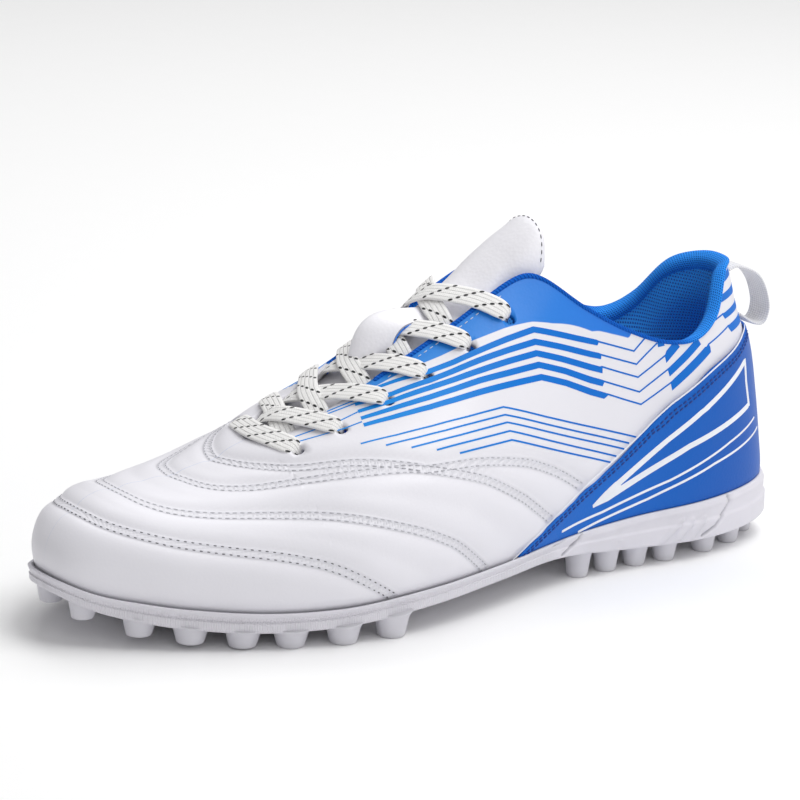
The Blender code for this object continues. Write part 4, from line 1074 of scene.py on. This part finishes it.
stud_rubber = Finish("stud_rubber", (0.72, 0.72, 0.76), 0.5)
rubber_noise = stud_rubber.noise(90.0, 4.0)
# Darker towards the floor: patches of the noise over the lowest three millimetres of each stud.
low_darkening = (1 - stud_rubber.axis("Z").ramp(0.0, 0.003)) * rubber_noise
tone = stud_rubber.mix(rubber_noise, (0.63, 0.62, 0.67), (0.71, 0.70, 0.75))
stud_rubber.set("Base Color", stud_rubber.mix(low_darkening * 0.5, tone, (0.50, 0.50, 0.50)))
stud_rubber.bump(rubber_noise, 0.10)
studs = add_tubes("studs", stud_rings, stud_rubber)
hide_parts("outsole")


# Heel panel: a wedge of royal blue synthetic, one piece round both sides and the back of the heel. It is
# glued over the upper, stitched along its front edge and held by the sole's rim below.
PANEL_THICK, PANEL_GAP, PANEL_TOP, PANEL_RIM_GAP = 1.0, 0.45, 78.0, 0.1
# Front edge: height as a share of the panel's top, run along the last.
PANEL_FRONT = np.array([
    (0.192, 0.556), (0.314, 0.610), (0.436, 0.665), (0.527, 0.705), (0.627, 0.738), (0.763, 0.783),
    (0.817, 0.807), (0.904, 0.843), (0.955, 0.887), (1.000, 0.940), (1.154, 0.980),
])


def panel_height(run, share):
    """Height at a share of the way from the panel's lower edge, just above the sole's rim, to its top."""
    low = sole_heights(place(run))[0] + PANEL_RIM_GAP
    return low + share * (PANEL_TOP - low)


def sheet_quads(rows, columns):
    """Quads of a closed sheet of two equal grids: the front, the back and the rim that joins them."""
    grid = np.arange(rows * columns).reshape(rows, columns)
    rim = np.concatenate([grid[0], grid[1:, -1], grid[-1, -2::-1], grid[-2:0:-1, 0]])
    after = np.roll(rim, -1)
    front = quad_rows(rows, columns)
    return front, front + grid.size, np.stack([rim, after, after + grid.size, rim + grid.size], 1)


# Rows from the lower edge up, each from the front edge round the heel; the front edge is where a row's own
# height meets the table, found by going from one to the other twenty times.
shares = 1 - (1 - np.linspace(0, 1, 60)) ** 1.3
starts = np.full(len(shares), PANEL_FRONT[0, 1])
for _ in range(20):
    starts = curve(panel_height(starts, shares) / PANEL_TOP, PANEL_FRONT[:, 0], PANEL_FRONT[:, 1])
runs = starts[:, None] + (1 - starts[:, None]) * np.linspace(0, 1, 110)[None]
z = panel_height(runs, shares[:, None])
sheets = []
for offset in (PANEL_GAP + PANEL_THICK, PANEL_GAP):
    sides = [level(runs, s, z, np.full(runs.shape, -offset)) for s in (-1.0, 1.0)]
    sheets.append(np.concatenate([sides[0], sides[1][:, -2::-1]], 1))
quads = np.concatenate(sheet_quads(*sheets[0].shape[:2]))
heel_blue = Finish("heel_blue", (0.004, 0.10, 0.48), 0.48, Specular_IOR_Level=0.2)
cloud = heel_blue.noise(20.0, 3.0)
deep = heel_blue.axis("X").ramp(0.05, 0.13)
shade = heel_blue.mix(deep, (0.005, 0.150, 0.62), (0.002, 0.100, 0.47))
heel_blue.set("Base Color", heel_blue.mix(cloud * 0.3, shade, (0.001, 0.070, 0.38)))
heel_blue.set("Roughness", cloud * 0.1 + 0.38)
heel_blue.bump(heel_blue.cells(950.0), 0.03)
panel = add_piece("heel_panel_skin", sheets, quads, (heel_blue,))
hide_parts("heel_panel")

# Print and stitching of the heel panel: white film lines that meet in a V, a pale cut edge in front and
# two rows of dark blue thread beside it. Each line gives run, turn in degrees and width in millimetres.
PANEL_LINES = (
    ((0.6755, -104.7, 0.60), (0.6927, -102.8, 2.0), (0.7746, -93.8, 1.5), (0.8925, -83.4, 1.5)),
    ((0.6757, -105.0, 0.60), (0.6960, -103.8, 2.0), (0.7999, -96.2, 1.6), (0.8937, -91.8, 1.5)),
    ((0.6877, -103.8, 1.70), (0.6982, -102.7, 3.10), (0.7075, -102.0, 3.97), (0.7129, -101.8, 3.45)),
    ((0.8952, -82.8, 1.10), (0.8927, -87.7, 1.10), (0.8959, -92.1, 1.10)),
    ((0.6322, -108.7, 0.76), (0.6900, -107.4, 0.76), (0.7792, -103.6, 0.69), (0.8533, -98.0, 0.62),
     (0.9121, -95.2, 0.55)),
    ((0.6589, -111.0, 0.76), (0.7507, -107.4, 0.72), (0.8312, -102.0, 0.69), (0.9256, -98.2, 0.55)),
)
PANEL_EDGE = (
    (0.5542, -110.3), (0.6022, -104.1), (0.6558, -98.6), (0.6950, -95.0), (0.7291, -91.5), (0.7773, -87.1),
    (0.7995, -85.3), (0.8356, -81.8), (0.8762, -79.1), (0.9144, -75.9), (0.9300, -75.3),
)
CUT_OFF, CUT_WIDE = 0.55, 0.38


def panel_skin(run, turn, lift=0.0):
    """Point of the panel's face and its normal, moved out by a lift."""
    point, normal = on_last(run, turn)
    side = np.where(np.asarray(turn) < 0, -1.0, 1.0)
    return level(run, side, point[..., 2], -(PANEL_GAP + PANEL_THICK + lift) + 0 * point[..., 2]), normal


film_white = mottled("film_white", (0.86, 0.87, 0.92), 0.45, (0.80, 0.82, 0.88), (0.90, 0.91, 0.95),
                     150.0, 3.0, 0.03)
edge_line = smooth(trace(PANEL_EDGE, 1.5), 20)
lines = [side for knots in PANEL_LINES for side in both_sides(trace(knots, 1.5))]
rows = []
for sign, line in zip((-1.0, 1.0), both_sides(edge_line)):
    spots, normal = on_last(line[:, 0], line[:, 1])
    inward = unit(np.cross(normal, np.gradient(spots, axis=0))) * sign * CUT_OFF
    lines.append(np.stack([*walk(line[:, 0], line[:, 1], inward), np.full(len(line), CUT_WIDE)], 1))
    rows += [along_line(line, 2.3, aside * sign, 0.05, panel_skin) for aside in (3.2, 4.5)]
panel_print = add_films("panel_print", lines, panel_skin, film_white)
thread_blue = mottled("thread_blue", (0.004, 0.03, 0.22), 0.7, (0.002, 0.015, 0.12), (0.010, 0.070, 0.38),
                      *TWIST)
panel_stitches = add_stitches("panel_stitches", rows, thread_blue, 1.9, 0.36)


# Tongue: padded white leather over thin foam, sewn in under the front of the throat and free above.
# A stitched lace keeper, a low arched flap with blue mesh under it, sits on its middle.
TONGUE_THICK, TONGUE_THIN, TONGUE_HALF, TONGUE_LIFT = 3.4, 1.8, 21.0, 3.0
TONGUE_GAP, TONGUE_DROP, TONGUE_WRAP = 0.9, 5.5, 10.5
TONGUE_COLUMNS = ("at", "half_width", "lift", "flat", "aside")
TONGUE = np.array([
    (0.235, 0.67, 0.00, 0.00, 0.00),
    (0.300, 0.90, 0.00, 0.00, 0.00),
    (0.420, 1.00, 0.00, 0.00, 0.00),
    (0.520, 0.90, 0.00, 0.00, 0.00),
    (0.570, 0.76, -0.07, 0.05, 0.00),
    (0.600, 0.68, 0.08, 0.80, 0.40),
    (0.620, 0.68, 0.26, 1.00, 0.75),
    (0.640, 0.65, 0.43, 1.00, 1.00),
    (0.654, 0.62, 0.52, 1.00, 1.00),
    (0.660, 0.57, 0.54, 1.00, 1.00),
])
# Share of the length where the end's rounding begins, where the tongue ends, and the rounding's reach,
# a hair more than its length, so that the last row keeps a thickness.
TONGUE_ASIDE, TONGUE_TURN, TONGUE_END, TONGUE_TIP = 5.4, 0.645, 0.660, 0.01505


def tongue_point(at, v, down):
    """Point of the tongue at a share v across it, the distance down below its top face."""
    half, lift, flat, aside = (column(at, name, TONGUE, TONGUE_COLUMNS) for name in TONGUE_COLUMNS[1:])
    half, lift, aside = half * TONGUE_HALF, lift * TONGUE_LIFT, aside * TONGUE_ASIDE
    run = run_at(at)
    side = np.where(v < 0, -1.0, 1.0)
    inset = UPPER_WALL + TONGUE_GAP + down
    ridge = last(run, side, np.pi / 2, inset)
    under = last(run, side, angle_off(run, side, np.abs(v) * half, inset), inset)
    z_flat = ridge[..., 2] - TONGUE_DROP * v * v - TONGUE_WRAP * v ** 8
    z = under[..., 2] * (1 - flat) + z_flat * flat + lift
    return np.stack([ridge[..., 0], ridge[..., 1] + v * half - aside, z], -1)


ends = TONGUE_TURN + (TONGUE_END - TONGUE_TURN) * np.sin(np.linspace(0, np.pi / 2, 14)[1:])
tongue_at = np.concatenate([np.linspace(TONGUE[0, 0], TONGUE_TURN, 120), ends])
across_shares = np.sin(np.linspace(-np.pi / 2, np.pi / 2, 41))[None]
thick = TONGUE_THIN + (TONGUE_THICK - TONGUE_THIN) * smooth_step(tongue_at, 0.30, 0.56)[:, None]
top_round = quarter_round(1 - (tongue_at - TONGUE_TURN) / TONGUE_TIP)[:, None]
side_round = np.sqrt(np.clip(1 - across_shares ** 8, 0, 1))
face = tongue_point(tongue_at[:, None], across_shares, 0.0 * across_shares)
normal = unit(np.cross(np.gradient(face, axis=0), np.gradient(face, axis=1)))
crown = 0.5 * smooth_step(tongue_at, 0.56, 0.62)[:, None] * (1 - across_shares ** 2)
half_thick = thick * 0.5 * side_round * top_round
middle = face - normal * (thick * 0.5)[..., None]
front_face = middle + normal * (half_thick + crown)[..., None]
back_face = middle - normal * half_thick[..., None]
tongue_white = Finish("tongue_white", (0.80, 0.79, 0.84), 0.45, Specular_IOR_Level=0.4)
cloud = tongue_white.noise(35.0, 4.0)
pebble = tongue_white.cells(800.0)
tongue_white.set("Base Color", tongue_white.mix(cloud, (0.870, 0.860, 0.910), (0.930, 0.920, 0.960)))
tongue_white.set("Roughness", cloud * 0.1 + pebble * 0.12 + 0.38)
tongue_white.bump(pebble * 0.22 + cloud * 0.5, 0.30)
tongue = add_piece("tongue_pad", (front_face, back_face), np.concatenate(sheet_quads(*face.shape[:2])),
                   (tongue_white,))
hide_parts("tongue")

# Tongue stitching: one dark row just inside the free end's edge, from side to side, read from the face's
# grid between its four nearest points.
turn = np.linspace(-np.pi / 2, 0.35 * np.pi, 60)
HEM_AT, HEM_REACH, HEM_HALF, HEM_LIFT = 0.644, 0.0105, 0.94, 0.1
hem_at, hem_v = HEM_AT + HEM_REACH * np.cos(turn), HEM_HALF * np.sin(turn)
place_at, place_v = (np.interp(a, b, np.arange(len(b))) for a, b in ((hem_at, tongue_at),
                                                                   (hem_v, across_shares[0])))
cell_at, cell_v = place_at.astype(int), place_v.astype(int)
part_at, part_v = (place_at - cell_at)[:, None], (place_v - cell_v)[:, None]
shares = ((0, 0, (1 - part_at) * (1 - part_v)), (0, 1, (1 - part_at) * part_v),
          (1, 0, part_at * (1 - part_v)), (1, 1, part_at * part_v))
hem, hem_up = (sum(grid[cell_at + i, cell_v + j] * share for i, j, share in shares)
               for grid in (front_face, normal))
hem, _, hem_up = even_row(hem + hem_up * HEM_LIFT, hem_up, 2.7, 1.0)
hem_rows = [(hem, np.gradient(hem, axis=0), hem_up)]
tongue_stitches = add_stitches("tongue_stitches", hem_rows, thread_dark, 1.7, 0.2)

# Lace keeper: a domed flap of the same leather, lined with blue mesh and sewn down front and back; its
# two sides stay open, and the fifth row of lace runs through under it.
KEEPER_TURN, KEEPER_HIGH, KEEPER_DOWN, KEEPER_THICK = np.radians(10.5), 12.6, -3.2, 1.5
keep_u, keep_v = np.meshgrid(np.linspace(0, 1, 56), np.linspace(-1, 1, 44), indexing="ij")
KEEPER_FRONT, KEEPER_BACK, FRONT_CURVE, BACK_CURVE = 0.427, 0.527, 0.036, 0.008
keep_from = KEEPER_FRONT + FRONT_CURVE * np.abs(keep_v) ** 1.8
keep_run = keep_from + (KEEPER_BACK - BACK_CURVE * np.abs(keep_v) - keep_from) * keep_u
arch = np.sin(np.pi * keep_u ** 0.8) * KEEPER_HIGH * (1 - 0.42 * keep_v ** 2)
spots, normal = on_last(keep_run, keep_v * KEEPER_TURN)
sheets = [spots + normal * (KEEPER_DOWN + arch - drop)[..., None] for drop in (0.0, 0.5, KEEPER_THICK)]
top, middle, rim = sheet_quads(*keep_u.shape)
quads = np.concatenate([top, middle + keep_u.size, rim, rim + keep_u.size])
parts = np.repeat([0, 1, 2, 1], [len(top), len(top), len(rim), len(rim)])
keeper_mesh = Finish("keeper_mesh", (0.02, 0.14, 0.60), 0.8)
cell = keeper_mesh.cells(900.0)
keeper_mesh.set("Base Color", keeper_mesh.mix(cell.ramp(0.1, 0.6), (0.006, 0.06, 0.38), (0.04, 0.22, 0.75)))
keeper_mesh.bump(cell, 0.3)
edge_grey = mottled("edge_grey", (0.30, 0.30, 0.34), 0.6, (0.22, 0.22, 0.26), (0.46, 0.46, 0.50), 400.0, 3.0)
keeper = add_piece("lace_keeper", sheets, quads, (tongue_white, keeper_mesh, edge_grey), parts)
keeper.data.set_sharp_from_angle(angle=0.9)


# Laces: flat woven polyester, off-white with black flecks, threaded criss-cross through the eyelets.
# The ends are tucked away inside the shoe at the top pair, so no bow shows.
LACE_WIDTH, LACE_THICK, LACE_OVER = 7.8, 1.25, 1.35
LACE_RING, TIP_DIP, TIP_ROUND, TIP_BACK, CROSS_SHARE = 16, 2.6, 5.4, 0.9, 0.58
# For each row above the first: run where its two bands cross, how far past the lower eyelet they
# tuck in, and whether the band from the outer eyelet lies on top.
LACE_CROSSINGS = ((0.351, 0.003, 1), (0.388, -0.006, 0), (0.434, -0.011, 0), (0.482, -0.010, 1),
                  (0.531, -0.014, 1))


def flat_ring(count, wide, high):
    """Rounded oblong from -1 to 1 both ways: cosine and sine of even turns, to powers below 1."""
    turn = np.linspace(0, 2 * np.pi, count + 1)[:-1]
    c, s = np.cos(turn), np.sin(turn)
    return np.sign(c) * np.abs(c) ** wide, np.sign(s) * np.abs(s) ** high


def lace(path_run, path_turn, lift, width):
    """Ring of points at each station: a flat oblong across the path, turned to the bare last's normal.
    Returns points and the two marks, millimetres along and across."""
    point, normal = on_last(path_run, path_turn)
    middle = point + normal * lift[:, None]
    tangent = unit(np.gradient(middle, axis=0))
    sideways = unit(np.cross(normal, tangent))
    flat_c, flat_s = flat_ring(LACE_RING, 0.7, 0.5)
    ring = middle[:, None] + sideways[:, None] * (flat_c[None] * width[:, None] / 2)[..., None]
    ring = ring + np.cross(tangent, sideways)[:, None] * (flat_s * LACE_THICK / 2)[None, :, None]
    along = np.repeat(length_along(middle)[:, None], LACE_RING, 1)
    return ring, along, flat_c[None] * LACE_WIDTH / 2 + 0 * along


# Weave: five lengthwise ribs with a fine slanting braid and painted shade in the grooves between the ribs,
# and one black fleck on each rib a lattice step on.
RIB, FLECK_EVERY, FLECK_STEP = 1.56, 9.6, 2.3
lace_white = Finish("lace_white", (0.84, 0.84, 0.83), 0.85, Sheen_Weight=0.15)
way_on, way_over = lace_white.mark("along"), lace_white.mark("across") + 2.5 * RIB
rib = (way_over / RIB).floor()
side_way = way_over - rib * RIB - RIB / 2
fleck_way = (way_on - rib * FLECK_STEP) % FLECK_EVERY - FLECK_EVERY / 2
slant = side_way - fleck_way * 0.35
fleck = fleck_way * fleck_way / 0.60 + slant * slant / 0.24
fleck = 1 - fleck.ramp(0.7, 1.3)
groove = abs(side_way / (RIB / 2)).ramp(0.65, 1.0)
braid = (way_on + way_over * 0.8).wave(0.75) * (way_on - way_over * 0.8).wave(0.75)
cloth = lace_white.mix(braid, (0.92, 0.91, 0.90), (0.99, 0.985, 0.975))
# Painted shade: grey in the grooves between the ribs.
cloth = lace_white.mix(groove * 0.18, cloth, (0.50, 0.50, 0.51))
lace_white.set("Base Color", lace_white.mix(fleck, cloth, (0.012, 0.012, 0.014)))
lace_white.bump(braid * 0.35 - groove * 0.6 + 0.6, 0.35)


def lace_row(name, paths):
    """One row's bands as closed tubes in one piece."""
    rings, along, across = zip(*(lace(*path) for path in paths))
    thing = add_tubes(name, rings, lace_white,
                      {"along": np.concatenate(along), "across": np.concatenate(across)})
    return thing


def lace_end(distance, lift):
    """Lift near an eyelet: a quarter round that dips 3 millimetres into the hole."""
    return lift - (lift + 3.0) * (1 - quarter_round(distance / TIP_DIP))


def round_tip(distance):
    """Width share near an eyelet, rounded off from a third of the width at the tip."""
    return 0.3 + 0.7 * quarter_round(distance / TIP_ROUND)


t = np.linspace(0, 1, 90)
for row, at in enumerate(EYELET_PLACES):
    paths = []
    for side in (-1.0, 1.0):
        start = np.array(eyelet(at, side))
        if row == 0:
            knots = np.array([start, (start[0] - 0.009, 0.0), (start[0], -start[1])])
            lifts, rise = (1.1, 1.3, 1.4, 1.3, 1.1), 0.0
        else:
            cross, past, outer_top = LACE_CROSSINGS[row - 1]
            low = eyelet(EYELET_PLACES[row - 1], -side)
            edge = -side * (abs(low[1]) - EYELET_ANGLE + 0.035)
            knots = np.array([start, (cross, 0.0), (low[0] + past, edge)])
            rise = LACE_OVER * (outer_top if side < 0 else 1 - outer_top)
            lifts = (1.1, 1.5, 0.9 + rise, 0.0, -3.0)
        reach = np.linalg.norm(np.diff(on_last(knots[:2, 0], knots[:2, 1])[0], axis=0))
        ends = [0] if row else [0, 2]
        knots[ends] -= (knots[ends] - knots[1]) * TIP_BACK / reach
        places = (0, 0.30, CROSS_SHARE, 0.84, 1.0) if row else (0, 0.25, 0.5, 0.75, 1.0)
        run, turn = (curve(t, places[::2], knots[:, k]) for k in (0, 1))
        lift = curve(t, places, lifts)
        distance = length_along(on_last(run, turn)[0])
        lift, width = lace_end(distance, lift), LACE_WIDTH * round_tip(distance)
        if row == 0:
            back_way = distance[-1] - distance
            lift, width = lace_end(back_way, lift), width * round_tip(back_way)
        paths.append((run, turn, lift, width))
        if row == 0:
            break
    piece = lace_row("lace_band_%d" % (row + 1), paths)
    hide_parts("lace_row_%d" % (row + 1))


# Pull loop: a short length of white woven webbing behind the heel's top edge, both ends sewn to the heel
# and the middle standing free.
LOOP_WIDTH, LOOP_THICK, LOOP_REACH, LOOP_RING = 11.0, 1.3, 15.8, 24
# Middle line: share of the reach from the heel, height as a share of the collar height.
LOOP = ((0.062, 0.933), (0.282, 0.942), (0.590, 0.928), (0.872, 0.899), (1.000, 0.846),
        (0.949, 0.779), (0.692, 0.729), (0.410, 0.733), (0.103, 0.769))
fine = np.linspace(0, len(LOOP) - 1, 90)
reach, z = (curve(fine, np.arange(len(LOOP)), [p[k] * size for p in LOOP])
            for k, size in enumerate((LOOP_REACH, COLLAR_HEIGHT)))
middle = level(1.0, -1.0, z) + reach[:, None] * np.array([1.0, 0.0, 0.0])
tangent = np.gradient(middle, axis=0)
normal = unit(np.stack([-tangent[:, 2], 0 * z, tangent[:, 0]], -1))
flat_c, flat_s = flat_ring(LOOP_RING, 0.45, 0.6)
ring = middle[:, None] + np.array([0, 1.0, 0]) * (flat_c * LOOP_WIDTH / 2)[None, :, None]
ring = ring + normal[:, None] * (flat_s * LOOP_THICK / 2)[None, :, None]
webbing_white = Finish("webbing_white", (0.80, 0.80, 0.82), 0.8, Sheen_Weight=0.1)
rib = webbing_white.mark("across").wave(0.22)
pick = webbing_white.mark("along").wave(0.9)
weave = rib * 0.5 + pick * 0.5
webbing_white.set("Base Color", webbing_white.mix(weave, (0.62, 0.62, 0.65), (0.86, 0.86, 0.88)))
webbing_white.bump(weave, 0.2)
loop = add_tubes("pull_loop_webbing", [ring], webbing_white, {
    "along": np.repeat(length_along(middle)[:, None], LOOP_RING, 1),
    "across": np.repeat(flat_c[None], len(middle), 0)})
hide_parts("pull_loop")


# Insole: a loose cut sheet of blue brushed cloth over foam, lying on the sole's floor.
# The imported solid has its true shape, so it stays and takes the cloth's finish.
insole_cloth = mottled("insole_cloth", (0.02, 0.12, 0.55), 0.9, (0.010, 0.080, 0.42), (0.030, 0.170, 0.66),
                       900.0, 4.0, 0.25, Sheen_Weight=0.4)
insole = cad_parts["insole"]
for slot in insole.material_slots:
    slot.material = insole_cloth.material
